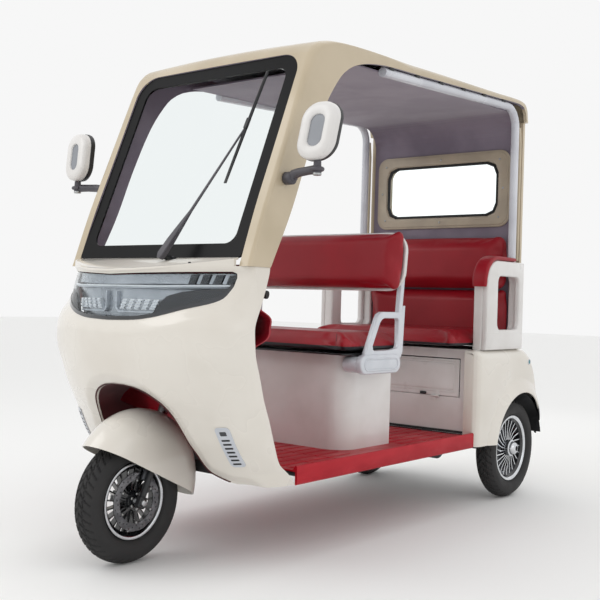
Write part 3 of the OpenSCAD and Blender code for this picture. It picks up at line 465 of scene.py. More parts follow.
def make_materials(look):
    """Every finish of the vehicle, named for the real material and how its surface was made; the arch liner's red is
    darkened as painted shade.
    """
    m = {}
    # Sprayed pearl lacquer on moulded ABS: warm white that drifts to grey-cream, mirror-like clear coat
    m["pearl"] = surface("sprayed_pearl_lacquer_on_ABS", look.cream, "#d8d2c8", 0.30, 9, 0.05, coat=0.75,
                         spread=0.05, blotch_mm=420, height_mm=0.06)
    # Gel-coated glass fibre, sprayed tan: satin-bright with faint orange peel
    m["tan"] = surface("sprayed_tan_lacquer_on_glass_fibre", look.tan, "#b5a68b", 0.36, 8, 0.07, coat=0.45,
                       spread=0.06, blotch_mm=350, height_mm=0.07)
    # Injection-moulded white ABS: even gloss with a slight haze that drifts at random
    m["white"] = surface("moulded_white_ABS", "#dfdddb", "#d5d2cf", 0.34, 7, 0.06, coat=0.35, spread=0.07,
                         blotch_mm=260, height_mm=0.06)
    # Vacuum-formed red ABS floor: bright gloss broken by fine scuffs along the ribs
    m["floor"] = surface("vacuum_formed_red_ABS", look.red_floor, "#a5051b", 0.42, 5, 0.10, coat=0.04, shine=0.25,
                         spread=0.10, blotch_mm=120, height_mm=0.12, stretch=(0.5, 1, 1))
    # Textured red ABS of the dash: duller than the floor, seen deep in shade
    m["dash"] = surface("grained_red_ABS", "#a01022", "#860c1c", 0.45, 4, 0.2, spread=0.08, height_mm=0.15)
    m["leather"] = leather("calendered_red_PVC_leathercloth", look.red_seat, "#8f0f1d")
    m["band"] = leather("calendered_black_PVC_leathercloth", "#17171a", "#222226")
    # Needle-felt headliner over board: soft mauve grey with almost no shine
    m["liner"] = surface("pressed_grey_felt_headliner", "#857b88", "#766c7a", 0.82, 6, 0.3, spread=0.06,
                         blotch_mm=300, height_mm=0.3, sheen=0.25)
    # Powder-coated steel: even black with a faint pebble and road dust
    m["frame"] = surface("powder_coated_steel", "#18191b", "#27272a", 0.52, 4, 0.25, spread=0.12, height_mm=0.15)
    # Sand-cast aluminium: dull grey with a coarse skin
    m["cast"] = surface("sand_cast_aluminium", "#6a6c70", "#57595d", 0.50, 5, 0.45, metallic=0.9, spread=0.1,
                        height_mm=0.3)
    m["battery"] = surface("grained_battery_case_ABS", "#2b2e33", "#33373d", 0.5, 4, 0.25, spread=0.08)
    # Moulded polypropylene: black, semi-matt, with a leather-like grain
    m["black"] = surface("moulded_black_polypropylene", "#17181a", "#222326", 0.42, 4, 0.3, spread=0.08,
                         height_mm=0.15)
    # Ceramic frit fired on the glass edge: deep black with the glass's own gloss
    m["frit"] = surface("fired_black_frit_on_glass", "#050506", "#08080a", 0.32, 40, 0.02, spread=0.03, shine=0.12)
    m["rubber"] = surface("extruded_EPDM_rubber", "#1b1b1c", "#262627", 0.68, 3, 0.3, spread=0.08)
    # Vulcanised tyre rubber: brown-black, dull, with pale dust in the texture
    m["tyre"] = surface("vulcanised_tyre_rubber", "#1d1c1d", "#2b2a2a", 0.72, 3, 0.35, spread=0.1, blotch_mm=60,
                        height_mm=0.25)
    m["silver"] = surface("sprayed_silver_on_ABS", "#d0d3d9", "#c4c8cf", 0.34, 3, 0.08, metallic=0.15, coat=0.4,
                          spread=0.06, height_mm=0.08)
    # Enamelled steel tube: light cool grey, glossy
    m["rail"] = surface("enamelled_steel_tube", "#d0d2d8", "#c0c2c9", 0.28, 9, 0.05, coat=0.5, spread=0.05)
    m["chrome"] = surface("bright_chrome_plating", "#dcdee1", "#cfd2d6", 0.09, 20, 0.03, metallic=1.0,
                          spread=0.05, blotch_mm=50)
    m["machined"] = surface("diamond_turned_aluminium", "#d2d4d7", "#c3c5c9", 0.22, 1.5, 0.12, metallic=1.0,
                            spread=0.07, blotch_mm=40, height_mm=0.05)
    m["wheel_black"] = surface("gloss_black_lacquer_on_cast_aluminium", "#101113", "#1a1b1e", 0.24, 8, 0.06,
                               coat=0.6, spread=0.06)
    # Ground steel: plain grey with a fine grain
    m["disc"] = surface("ground_stainless_steel", "#77777a", "#5f5f62", 0.32, 1.2, 0.2, metallic=1.0,
                        spread=0.08, blotch_mm=30, height_mm=0.05)
    m["zinc"] = surface("zinc_plated_steel", "#b7b8ba", "#a3a49f", 0.35, 3, 0.15, metallic=1.0, spread=0.1)
    m["mirror"] = surface("silvered_mirror_glass", "#c8cdd2", "#bfc5cb", 0.04, 80, 0.01, metallic=1.0, spread=0.02)
    m["mirror_pane"] = surface("smoked_grey_acrylic", "#7b7f86", "#71757c", 0.2, 30, 0.03, coat=0.6, spread=0.04)
    m["glass"] = clear("float_glass", "#f6fbfb", 0.0, 1.02)
    m["lens"] = clear("clear_polycarbonate", "#f2f6f8", 0.03, 1.12)
    m["smoke"] = surface("smoked_polycarbonate", "#14171c", "#1d222a", 0.14, 30, 0.03, coat=1.0, spread=0.05)
    m["reflector"] = surface("vapour_coated_reflector", "#c6c9ce", "#aeb2b8", 0.24, 60, 0.04, metallic=0.5,
                             coat=0.5, spread=0.05, blotch_mm=160)
    m["diffuser"] = surface("frosted_white_diffuser", "#f7f8fa", "#eceef2", 0.3, 5, 0.1, coat=0.4)
    m["lamp_red"] = surface("moulded_red_acrylic", "#a80f16", "#8f0b12", 0.16, 6, 0.2, coat=1.0, spread=0.04)
    m["amber"] = surface("moulded_amber_acrylic", "#d4741a", "#c26412", 0.18, 6, 0.2, coat=1.0, spread=0.04)
    # Blow-moulded red liner of the wheel arch, darkened to wine red as painted shade because it always sits in shade
    m["arch"] = surface("blow_moulded_red_polyethylene_darkened_as_painted_shade", "#4a0a12", "#37070d", 0.6, 5, 0.2, spread=0.08)
    # Painted steel trim round the rear window: grey beige, satin
    m["trim"] = surface("stove_enamelled_steel_trim", "#b3a691", "#a79b88", 0.4, 8, 0.06, coat=0.3, spread=0.05)
    m["arm"] = surface("moulded_grey_nylon", "#4d4a50", "#434147", 0.45, 4, 0.25, spread=0.06)
    m["teal"] = surface("moulded_teal_cap_ABS", "#1f7c86", "#186872", 0.3, 5, 0.1, coat=0.4)
    return m


FINISH = {}
# CAD nodes whose shape stays, with the finish that each one gets
PLAIN_NODES = {
    "chassis_frame": "frame", "rear_axle": "frame", "drive_motor": "cast", "leaf_springs": "frame",
    "battery_pack": "battery", "windshield_border": "frit", "cab_glass": "glass",
    "cab_liner": "liner", "rear_wall": "tan", "tail_panel": "pearl", "driver_seat_box": "white",
    "front_fender": "pearl", "cab_rails": "rail", "mirror_glasses": "mirror",
}


def dress_plain_nodes():
    for node, finish in PLAIN_NODES.items():
        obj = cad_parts[node]
        if not obj.material_slots:
            obj.data.materials.append(FINISH[finish])
        for slot in obj.material_slots:
            slot.material = FINISH[finish]


# ---------------------------------------------------------------- cowl and headlamp

# Levels of the cowl: height, nose x, half width, x where the nose curve ends, rear edge x, bluntness
COWL = [(300, -110, 472, -330, -380, 1.0), (345, -92, 482, -310, -326, 1.0), (386, -72, 485, -270, -272, 1.0),
        (454, -32, 488, -225, -239, 1.0), (540, 18, 491, -198, -204, 1.0), (620, 66, 493, -166, -168, 1.0),
        (700, 100, 495, -138, -141, 1.0), (783, 123, 496, -112, -114, 0.95), (860, 134, 495, -106, -108, 1.05),
        (950, 137, 489, -138, -146, 1.35), (1020, 134, 483, -130, -178, 1.65), (1081, 128, 478, -120, -198, 2.0),
        (1140, 128, 478, -120, -198, 2.0)]
ARCH = [(430, 240), (395, 300), (340, 309), (298, 326), (266, 346), (252, 372), (243, 402), (230, 440),
        (219, 490), (206, 540), (186, 578), (158, 605), (120, 628), (70, 643), (25, 648)]
LAMP = [(0, 882), (120, 886), (195, 896), (300, 926), (408, 968), (427, 1010), (431, 1062), (0, 1045)]
BAND = 44
RECESS = 15
ROLL = 36
ROLL_DEPTH = 17
VENT_AT = (-94, 390, 450)
VENT_FACE = math.radians(28)
VENT_LEAN = math.radians(5)


def eased(points, steps=6):
    """The same open line with its corners rounded by a curve through the points."""
    pts = np.array(points, float)
    lengths = np.concatenate([[0], np.cumsum(np.linalg.norm(np.diff(pts, axis=0), axis=1))])
    wanted = np.linspace(0, lengths[-1], steps * (len(points) - 1) + 1)
    return list(zip(smooth_column(lengths, pts[:, 0], wanted), smooth_column(lengths, pts[:, 1], wanted)))


def both_sides(half):
    """A closed outline from the half with y above zero, listed from the middle round to the middle."""
    return list(half) + [(-y, z) for y, z in reversed(half) if abs(y) > 0.5]


def arch_outline():
    half = eased(ARCH, 5)
    return half + [(-y, z) for y, z in reversed(half)]


def lamp_outline(shrink=0.0):
    lower = eased(LAMP[:6], 6)
    half = lower + [(430, 1040), (428, 1055), (418, 1061.5)] + [(y, 1045 + 17 * y / 431) for y in
                                                              range(400, 0, -25)] + [(0, 1045)]
    outline = np.array(both_sides(half), float)
    if shrink:
        before, after = np.roll(outline, 1, axis=0), np.roll(outline, -1, axis=0)
        way = after - before
        way /= np.linalg.norm(way, axis=1)[:, None]
        outline = outline + shrink * np.stack([-way[:, 1], way[:, 0]], 1)
    return [tuple(p) for p in outline]


def cowl_x(y, z, inset):
    """x of the cowl's outer surface moved inward by inset, seen from the front at (y, z)."""
    row = smooth_table(COWL, [z])[0]
    half, nose, end = row[2] - inset, row[1] - inset, row[3] - inset / 2
    turn = max(0.0, 1 - min(abs(y) / half, 1.0) ** 2) ** 0.5
    return end + (nose - end) * turn ** row[5]


def curved_plate(name, outline, front, back, materials, cell=14, shape=cowl_x):
    """A plate that follows the cowl between two insets, from its outline as seen from the front."""
    work = bmesh.new()
    face = work.faces.new([work.verts.new((0, y, z)) for y, z in outline])
    ys, zs = [p[0] for p in outline], [p[1] for p in outline]
    for axis, values in ((1, ys), (2, zs)):
        step = cell if axis == 1 else cell * 2
        for cut in np.arange(min(values) + step, max(values), step):
            normal, origin = [0, 0, 0], [0, 0, 0]
            normal[axis], origin[axis] = 1, cut
            bmesh.ops.bisect_plane(work, geom=work.verts[:] + work.edges[:] + work.faces[:],
                                   plane_co=origin, plane_no=normal)
    work.verts.index_update()
    flat = [tuple(v.co) for v in work.verts]
    faces = [[v.index for v in f.verts] for f in work.faces]
    rim = [[v.index for v in e.verts] for e in work.edges if len(e.link_faces) == 1]
    work.free()
    count = len(flat)
    verts = [(shape(y, z, front), y, z) for _, y, z in flat] + [(shape(y, z, back), y, z) for _, y, z in flat]
    every = faces + [[i + count for i in reversed(f)] for f in faces] + [[a, b, b + count, a + count] for a, b in rim]
    return crease(outward(solid(name, verts, every, materials)), 40)


def glass_point(u, v, w):
    """u across, v up along the windshield from its lower edge, w in front of it."""
    return (GLASS_FOOT.x - v * math.sin(GLASS_LEAN) + w * math.cos(GLASS_LEAN), u,
            GLASS_FOOT.z + v * math.cos(GLASS_LEAN) + w * math.sin(GLASS_LEAN))


def glass_outline(grow):
    low, high = 16, 95
    half = arc(GLASS_HALF + grow - low, low - grow, low, -90, 0, 4) + arc(
        GLASS_HALF + grow - high, GLASS_LEN + grow - high, high, 0, 90, 12)
    return half + [(-u, v) for u, v in reversed(half)]


def scuttle_cutter():
    """Everything above the scuttle's slope between the pillars' feet."""
    slope = math.atan2(GLASS_FOOT.z - 1063, 128 - GLASS_FOOT.x)
    ahead = Vector((math.cos(slope), 0, -math.sin(slope)))
    high = Vector((math.sin(slope), 0, math.cos(slope)))

    def place(u, v, w):
        p = GLASS_FOOT + ahead * v + high * w
        return (p.x, u, p.z)
    return prism("cutter", [(-600, -300), (600, -300), (600, 500), (-600, 500)], place, (0, 300))


def build_cowl():
    columns, rows = 150, 112
    heights = np.linspace(300, 1140, rows)
    table = smooth_table(COWL, heights)
    s = np.linspace(-1, 1, columns)
    skins = []
    arch, lamp = arch_outline(), lamp_outline()
    for inset in (0, 8):
        points = []
        for z, row in zip(heights, table):
            half, nose, end, rear = row[2] - inset, row[1] - inset, row[3] - inset / 2, row[4]
            t = np.clip(s * 1.06, -1, 1) * math.pi / 2
            x = end + (nose - end) * np.cos(t) ** row[5]
            x = np.where(np.abs(s) > 1 / 1.06, end + (rear - end) * (np.abs(s) - 1 / 1.06) / (1 - 1 / 1.06), x)
            points.append(np.stack([x, half * np.sin(t), np.full(columns, z)], 1))
        grid = np.array(points)
        flat = grid.reshape(-1, 3)
        seen = flat[:, 1:]
        # Faces the front where it isn't far round the side
        ahead = flat[:, 0] > -260
        near = distance_to(arch + arch[:1], seen)
        near[inside(arch, seen)] = 0
        roll = ROLL_DEPTH * np.clip(1 - near / ROLL, 0, 1) * ahead
        near = distance_to(lamp + lamp[:1], seen)
        near[inside(lamp, seen)] = 0
        band = RECESS * np.clip(1 - near / BAND, 0, 1) * ahead
        fade = np.clip((1075 - flat[:, 2]) / 20, 0, 1)
        push = roll + band * fade
        du = np.gradient(grid, axis=1).reshape(-1, 3)
        dv = np.gradient(grid, axis=0).reshape(-1, 3)
        normal = np.cross(du, dv)
        normal /= np.linalg.norm(normal, axis=1)[:, None] + 1e-9
        if normal[np.argmax(flat[:, 0]), 0] < 0:
            normal = -normal
        skins.append(flat - normal * push[:, None])
    count = rows * columns
    faces = rings_to_faces(rows, columns)
    faces += [tuple(i + count for i in reversed(f)) for f in faces]
    border = ([(j, j + 1) for j in range(columns - 1)]
              + [((rows - 1) * columns + j + 1, (rows - 1) * columns + j) for j in range(columns - 1)]
              + [((i + 1) * columns, i * columns) for i in range(rows - 1)]
              + [(i * columns + columns - 1, (i + 1) * columns + columns - 1) for i in range(rows - 1)])
    faces += [(b, a, a + count, b + count) for a, b in border]
    cowl = outward(solid("cowl_shell", np.concatenate(skins).tolist(), faces, [FINISH["pearl"]]))
    carve(cowl, scuttle_cutter())
    for side in (1, -1):
        carve(cowl, prism("cutter", [(425, 1081), (640, 1081), (640, 1200), (425, 1200)],
                          lambda u, v, w, side=side: (w, side * u, v), (-500, 400)))
    carve(cowl, prism("cutter", glass_outline(1), glass_point, (-60, 60)))
    carve(cowl, prism("cutter", arch, lambda u, v, w: (w, u, v), (-330, 270)))
    carve(cowl, prism("cutter", lamp, lambda u, v, w: (w, u, v), (-330, 270)))
    for side in (1, -1):
        opening = [vent_point(u, v, 0, side)[1:] for u, v in rounded(51, 143, 12)]
        carve(cowl, prism("cutter", opening, lambda u, v, w: (w, u, v), (-330, 200)))
    crease(cowl, 38)
    front = []
    for y in np.linspace(-424, 424, 61):
        x = 100.0
        for _ in range(5):
            x = cowl_x(y, scuttle_z(x), 0.6)
        front.append((y, x))
    deck = [(424, GLASS_FOOT.x + 1), (-424, GLASS_FOOT.x + 1)]
    ears = []
    for side in (1, -1):
        outer = [(side * y, cowl_x(y, 1080, 3)) for y in np.linspace(422, 476, 10)]
        ears.append(prism("ear", outer + [(side * 476, -190), (side * 422, -190)],
                          lambda u, v, w: (v, u, w), (1072, 1080.4), [FINISH["pearl"]]))
    scuttle = bevel(prism("scuttle", front + deck, lambda u, v, w: (v, u, scuttle_z(v) + w), (-8, -0.3),
                          [FINISH["pearl"]]), 1.2, 2)
    pivot = glass_point(124, -22, 0)
    boss = []
    for radius, w in ((16, 10), (16, 26), (12, 30), (11, 62)):
        boss.append([glass_point(124 + radius * math.cos(a), -22 + radius * math.sin(a), w)
                     for a in (2 * math.pi * k / 32 for k in range(32))])
    cowl = join("cowl_skin", [cowl, scuttle] + ears + [crease(loft("boss", boss, [FINISH["black"]]), 40)])
    finish_piece(cowl, "cab", ["front_cowl"])
    build_arch_liner(arch)
    build_dash()


def scuttle_z(x):
    """Height of the sloping deck between the lamp and the glass."""
    return GLASS_FOOT.z - (x - GLASS_FOOT.x) * (GLASS_FOOT.z - 1063) / (128 - GLASS_FOOT.x)


def build_arch_liner(arch):
    """Tunnel behind the cowl's arch, open below and round the steering column."""
    rings = []
    for y, z in arch:
        if z < 312:
            continue
        front = cowl_x(y, z, 14)
        depth = -300 if z < 500 else -300 + (z - 500) / 60 * 172 if z < 560 else -128
        depth = min(depth, front - 4)
        rings.append([(front, y, z), (front * 0.6 + depth * 0.4, y * 1.03, z), (depth, y * 1.06, z),
                      (depth, y * 1.06 + math.copysign(3, y), z + 3), (front * 0.6 + depth * 0.4, y * 1.03
                      + math.copysign(3, y), z + 3), (front, y + math.copysign(3, y), z + 3)])
    # The tunnel's dark wine red is painted shade on a red liner
    liner = crease(loft("arch_tunnel", rings, [FINISH["arch"]]), 50)
    finish_piece(liner, "cab")


DASH = [(353, -399), (420, -357), (560, -296), (700, -237), (801, -229), (880, -271), (939, -275), (972, -249),
        (1000, -201), (1060, -150), (1092, -121)]


def build_dash():
    """Red inner cowl: its ends run out to the cowl's edge, with a knee that stands behind it."""
    rows, columns, half = 72, 90, 470
    heights = np.linspace(353.4, 1088, rows)
    middle_x = smooth_column([d[0] for d in DASH], [d[1] for d in DASH], heights)
    edge_x = smooth_table(COWL, heights)[:, 4] + 6
    knee = 118 * np.exp(-((heights - 868) / 62) ** 4)
    skins = []
    for thick in (0, 9):
        points = []
        for z, mid, edge, back in zip(heights, middle_x, edge_x, knee):
            for y in np.linspace(-half, half, columns):
                t = min(max((abs(y) - 330) / 130, 0), 1)
                t = t * t * (3 - 2 * t)
                points.append((mid * (1 - t) + max(edge - back, mid) * t + thick, y, z))
        skins += points
    count = rows * columns
    faces = rings_to_faces(rows, columns)
    faces += [tuple(i + count for i in reversed(f)) for f in faces]
    border = ([(j, j + 1) for j in range(columns - 1)]
              + [((rows - 1) * columns + j + 1, (rows - 1) * columns + j) for j in range(columns - 1)]
              + [((i + 1) * columns, i * columns) for i in range(rows - 1)]
              + [(i * columns + columns - 1, (i + 1) * columns + columns - 1) for i in range(rows - 1)])
    faces += [(b, a, a + count, b + count) for a, b in border]
    dash = outward(solid("dash_skin", skins, faces, [FINISH["dash"]]))
    carve(dash, prism("cutter", rounded(92, 300, 30, 0, 710), lambda u, v, w: (w, u, v), (-340, -150)))
    finish_piece(crease(dash, 40), "cab", ["inner_cowl"])


def vent_point(u, v, w, side=1):
    """u across, v up and w out of a side vent's plate."""
    a, b = math.cos(VENT_LEAN), math.sin(VENT_LEAN)
    across, up = u * a - v * b, u * b + v * a
    x = VENT_AT[0] + w * math.cos(VENT_FACE) - across * math.sin(VENT_FACE)
    y = VENT_AT[1] + w * math.sin(VENT_FACE) + across * math.cos(VENT_FACE)
    return (x, side * y, VENT_AT[2] + up)


def build_vents():
    parts = []

    def seen(outline, side):
        return [vent_point(u, v, 0, side)[1:] for u, v in outline]

    def follow(y, z, inset):
        return cowl_x(abs(y), z, inset)
    for side in (1, -1):
        ring = curved_plate("vent", seen(rounded(53, 145, 13), side), -3, 7, [FINISH["silver"]], 12, follow)
        for i in range(7):
            slot = rounded(31, 6.5, 3, 0, 26 - i * 14.5, 4)
            parts.append(curved_plate("slot", seen(slot, side), -3.5, 2, [FINISH["black"]], 40, follow))
        inner = seen(rounded(41, 133, 9), side)
        bead = curved_plate("bead", inner, -3.8, 0, [FINISH["silver"]], 12, follow)
        carve(bead, prism("cutter", seen(rounded(36, 128, 7), side), lambda u, v, w: (w, u, v), (-400, 300)))
        badge = curved_plate("vent_recess", seen(rounded(24, 15, 3, 0, 50, 4), side), -3.4, 2, [FINISH["cast"]], 40,
                             follow)
        parts += [ring, bead, badge]
    vents = join("side_vents", parts)
    finish_piece(vents, "cab", ["cowl_vents"])


def build_headlamp():
    body, rim, clear_lens = [], [], []
    lens = curved_plate("headlamp_cover", lamp_outline(2), RECESS + 0.5, RECESS + 4, [FINISH["lens"]])
    finish_piece(lens, "cab", ["headlamp_lens"])
    lower = eased(LAMP[:6], 6)
    # Bowl floor, its silver middle and its dark ends
    parts = [curved_plate("bowl", lamp_outline(3), 58, 61, [FINISH["smoke"]])]
    silver = [(0, 889), (120, 893), (200, 902), (240, 940), (266, 974), (330, 992), (420, 1010), (428, 1054),
              (0, 1041)]
    parts.append(curved_plate("silver", both_sides(silver), 44, 47, [FINISH["reflector"]]))
    top = [(0, 1009), (425, 1018), (428, 1055), (0, 1041)]
    parts.append(curved_plate("upper", both_sides(top), 30, 36, [FINISH["reflector"]]))
    bar = [(0, 1001), (200, 1002), (425, 1010), (425, 1016), (200, 1008), (0, 1007)]
    parts.append(curved_plate("light_bar", both_sides(bar), 20, 30, [FINISH["diffuser"]]))
    ledge = [(0, 996), (200, 997), (425, 1004), (425, 1009), (200, 1001.5), (0, 1000.5)]
    parts.append(curved_plate("ledge", both_sides(ledge), 26, 40, [FINISH["silver"]]))
    brow = [(196, 905), (222, 948), (244, 972), (290, 988), (360, 998), (422, 1006), (425, 1000), (404, 976),
            (350, 955), (300, 936), (240, 914)]
    for side in (1, -1):
        parts.append(curved_plate("brow", [(side * y, z) for y, z in brow], 16, 30, [FINISH["smoke"]]))
        hook = [(24, 985), (30, 985), (30, 930), (40, 917), (196, 917), (196, 911), (36, 911), (24, 926)]
        parts.append(curved_plate("hook", [(side * y, z) for y, z in hook], 30, 44, [FINISH["silver"]]))
        for i in range(5):
            y0 = 48 + i * 32
            block = [(y0, 922), (y0 + 20, 922), (y0 + 34, 958), (y0 + 14, 958)]
            parts.append(curved_plate("led", [(side * y, z) for y, z in block], 28, 44, [FINISH["diffuser"]]))
            for k in range(3):
                z = 926 + 11 * k
                y = y0 + 2 + 4.4 * k
                rib = [(y, z), (y + 20, z), (y + 22, z + 4), (y + 2, z + 4)]
                parts.append(curved_plate("rib", [(side * v, z1) for v, z1 in rib], 25, 30, [FINISH["chrome"]]))
        for i in range(4):
            y0 = 296 + i * 34
            facet = [(y0, 1012 + i), (y0 + 20, 1013 + i), (y0 + 24, 1050), (y0 + 4, 1048)]
            parts.append(curved_plate("facet", [(side * y, z) for y, z in facet], 24, 34, [FINISH["smoke"]]))
    edge = [(y, z) for y, z in lower if y <= 427]
    inner = [(y * 0.985, z + 13) for y, z in reversed(edge)]
    parts.append(curved_plate("rim_left", edge + inner, 13, 26, [FINISH["smoke"]]))
    parts.append(curved_plate("rim_right", [(-y, z) for y, z in edge + inner], 13, 26, [FINISH["smoke"]]))
    inside_of_lamp = join("headlamp_bowl", parts)
    finish_piece(inside_of_lamp, "cab", ["headlamp_housing"])


# ---------------------------------------------------------------- roof, pillars and lining

# Roof stations: outer x, outer z, inner x, inner z, crown, edge radius
ROOF = [(-85, 1081.3, -197, 1081.3, 0, 18), (-159, 1290, -302, 1290, 0, 18), (-249, 1512, -392, 1510, 0, 20),
        (-331, 1716, -488, 1706, 0, 24), (-372, 1818, -545, 1788, 0, 28), (-402, 1885, -592, 1840, 4, 34),
        (-448, 1930, -660, 1882, 14, 40), (-520, 1953, -760, 1912, 24, 42), (-660, 1966, -880, 1929, 28, 42),
        (-1140, 1986, -1140, 1943, 30, 36), (WALL_X + 287, 2012, WALL_X + 287, 1982, 30, 28),
        (WALL_X + 62, 2020, WALL_X + 84, 1992, 26, 26), (WALL_X, 2012, WALL_X + 32, 1984, 18, 26),
        (WALL_X - 31, 1980, WALL_X + 6, 1958, 8, 26), (WALL_X - 39, 1914, WALL_X - 8, 1914, 0, 20)]
CAB_HALF = 482
ROOF_WALL = 16


def roof_path(station, t):
    """Points of one roof section from the left foot over the crown to the right foot, moved inward by t."""
    ox, oz, ix, iz, crown, radius = station
    span = math.hypot(ox - ix, oz - iz)
    ux, uz = (ox - ix) / span, (oz - iz) / span
    r, w, top = max(radius - t, 3), CAB_HALF - t, span - t
    half = [(w, 0.0), (w, (top - r) * 0.5)]
    half += [(w - r + r * math.cos(a), top - r + r * math.sin(a)) for a in
             (math.pi / 2 * i / 8 for i in range(9))]
    half += [(y, top + crown * (1 - (y / (w - r)) ** 2)) for y in ((w - r) * (1 - i / 14) for i in range(1, 15))]
    ring = half + [(-y, h) for y, h in reversed(half[:-1])]
    return [(ix + ux * h, y, iz + uz * h) for y, h in ring]


def build_roof():
    lengths = [0.0]
    for a, b in zip(ROOF[:-1], ROOF[1:]):
        lengths.append(lengths[-1] + math.hypot(b[0] - a[0], b[1] - a[1]))
    rows = [(length,) + station for length, station in zip(lengths, ROOF)]
    wanted = sorted(set(np.linspace(0, lengths[-1], 90).tolist() + lengths))
    stations = smooth_table(rows, wanted)[:, 1:]
    rings = [roof_path(s, 0) + list(reversed(roof_path(s, ROOF_WALL))) for s in stations]
    roof = loft("roof_skin", rings, [FINISH["tan"]])
    carve(roof, prism("cutter", glass_outline(1), glass_point, (-70, 70)))
    roof.data.materials.append(FINISH["liner"])
    for face in roof.data.polygons:
        centre = face.center * 1000
        x = centre.x - AXLE_X
        if WALL_X + 6 < x < 0 and (face.normal.y * centre.y < -100 and abs(face.normal.y) > 0.7
                                   or face.normal.z < -0.75 and centre.z > 1500):
            face.material_index = 1
    carve(roof, prism("cutter", [(-434, -90), (434, -90), (434, 20), (-434, 20)], glass_point, (-70, 110)))
    crease(roof, 30)
    finish_piece(roof, "cab", ["roof_shell"])


def build_lining_trim():
    """Rail clips, the rear window's frame with its gasket and screws, and strips along the posts."""
    liner = FINISH["liner"]
    frames, seals, screws = [], [], []
    z = 1582
    outer, hole = rounded(814, 400, 62, 0, 0), rounded(670, 272, 60, 0, 0, 2)
    frames.append(plate("frame", [outer, hole], 12, 4.5, on_face(WALL_X + 7, 0, z), [FINISH["trim"]]))
    step = plate("step", [rounded(792, 378, 54), rounded(692, 294, 62, 0, 0, 2)], 8, 3, on_face(WALL_X + 14, 0, z),
                 [FINISH["trim"]])
    frames.append(step)
    seal = plate("seal", [rounded(690, 292, 62, 0, 0, 2), rounded(656, 258, 56, 0, 0, 2)], 10, 3,
                 on_face(WALL_X + 8, 0, z), [FINISH["rubber"]])
    seals.append(seal)
    for y, dz in ((0, 168), (0, -168), (-372, 0), (372, 0), (-350, 150), (350, 150), (-350, -150), (350, -150)):
        screws.append(button("screw", (WALL_X + 18, y, z + dz), 6, 0, 3.5, 1.5, [FINISH["zinc"]], "x", 20))
    trim = join("rear_window_frame", frames + seals + screws)
    finish_piece(trim, "cab", ["rear_window_trim"])
    clips = []
    slope = math.atan2(1982 - 1929, 1005)
    for i in range(6):
        x = -930 - i * 200
        zc = 1929 + (-880 - x) * math.tan(slope) - 4
        clips.append(bevel(prism("clip", [(-16, -5), (16, -5), (16, 4), (-16, 4)],
                                 lambda u, v, w, x=x, zc=zc: (x + u, w, zc + v), (440, 479), [FINISH["black"]]), 1.5, 2))
    finish_piece(mirrored(join("rail_clips", clips)), "cab")
    # Tan strips that close the lining against the posts
    strips = [tube("strip", [(WALL_X + 20, 462, 1205), (WALL_X + 20, 462, 1800), (WALL_X + 30, 462, 1880)], 7,
                   [FINISH["tan"]], 10)]
    finish_piece(mirrored(join("post_strips", strips)), "cab")


# ---------------------------------------------------------------- floor, boxes and rear fenders

FENDER = [(FLOOR_REAR - 0.3, 743, 470, 420, 16), (FLOOR_REAR - 8, 752, 486, 420, 24),
          (FLOOR_REAR - 30, 757, 498, 420, 34), (FLOOR_REAR - 152, 757, 504, 420, 44),
          (FLOOR_REAR - 153, 757, 504, 335, 44), (REAR_X + 155, 757, 505, 335, 46), (REAR_X - 30, 757, 504, 335, 46),
          (REAR_X - 107, 733, 500, 335, 50), (REAR_X - 163, 675, 494, 335, 54), (REAR_X - 207, 600, 486, 335, 54),
          (REAR_X - 255, 470, 474, 335, 50), (REAR_X - 285, 380, 462, 335, 40), (REAR_X - 300, 318, 452, 335, 16)]
ARCH_R = 288
FLARE = 62


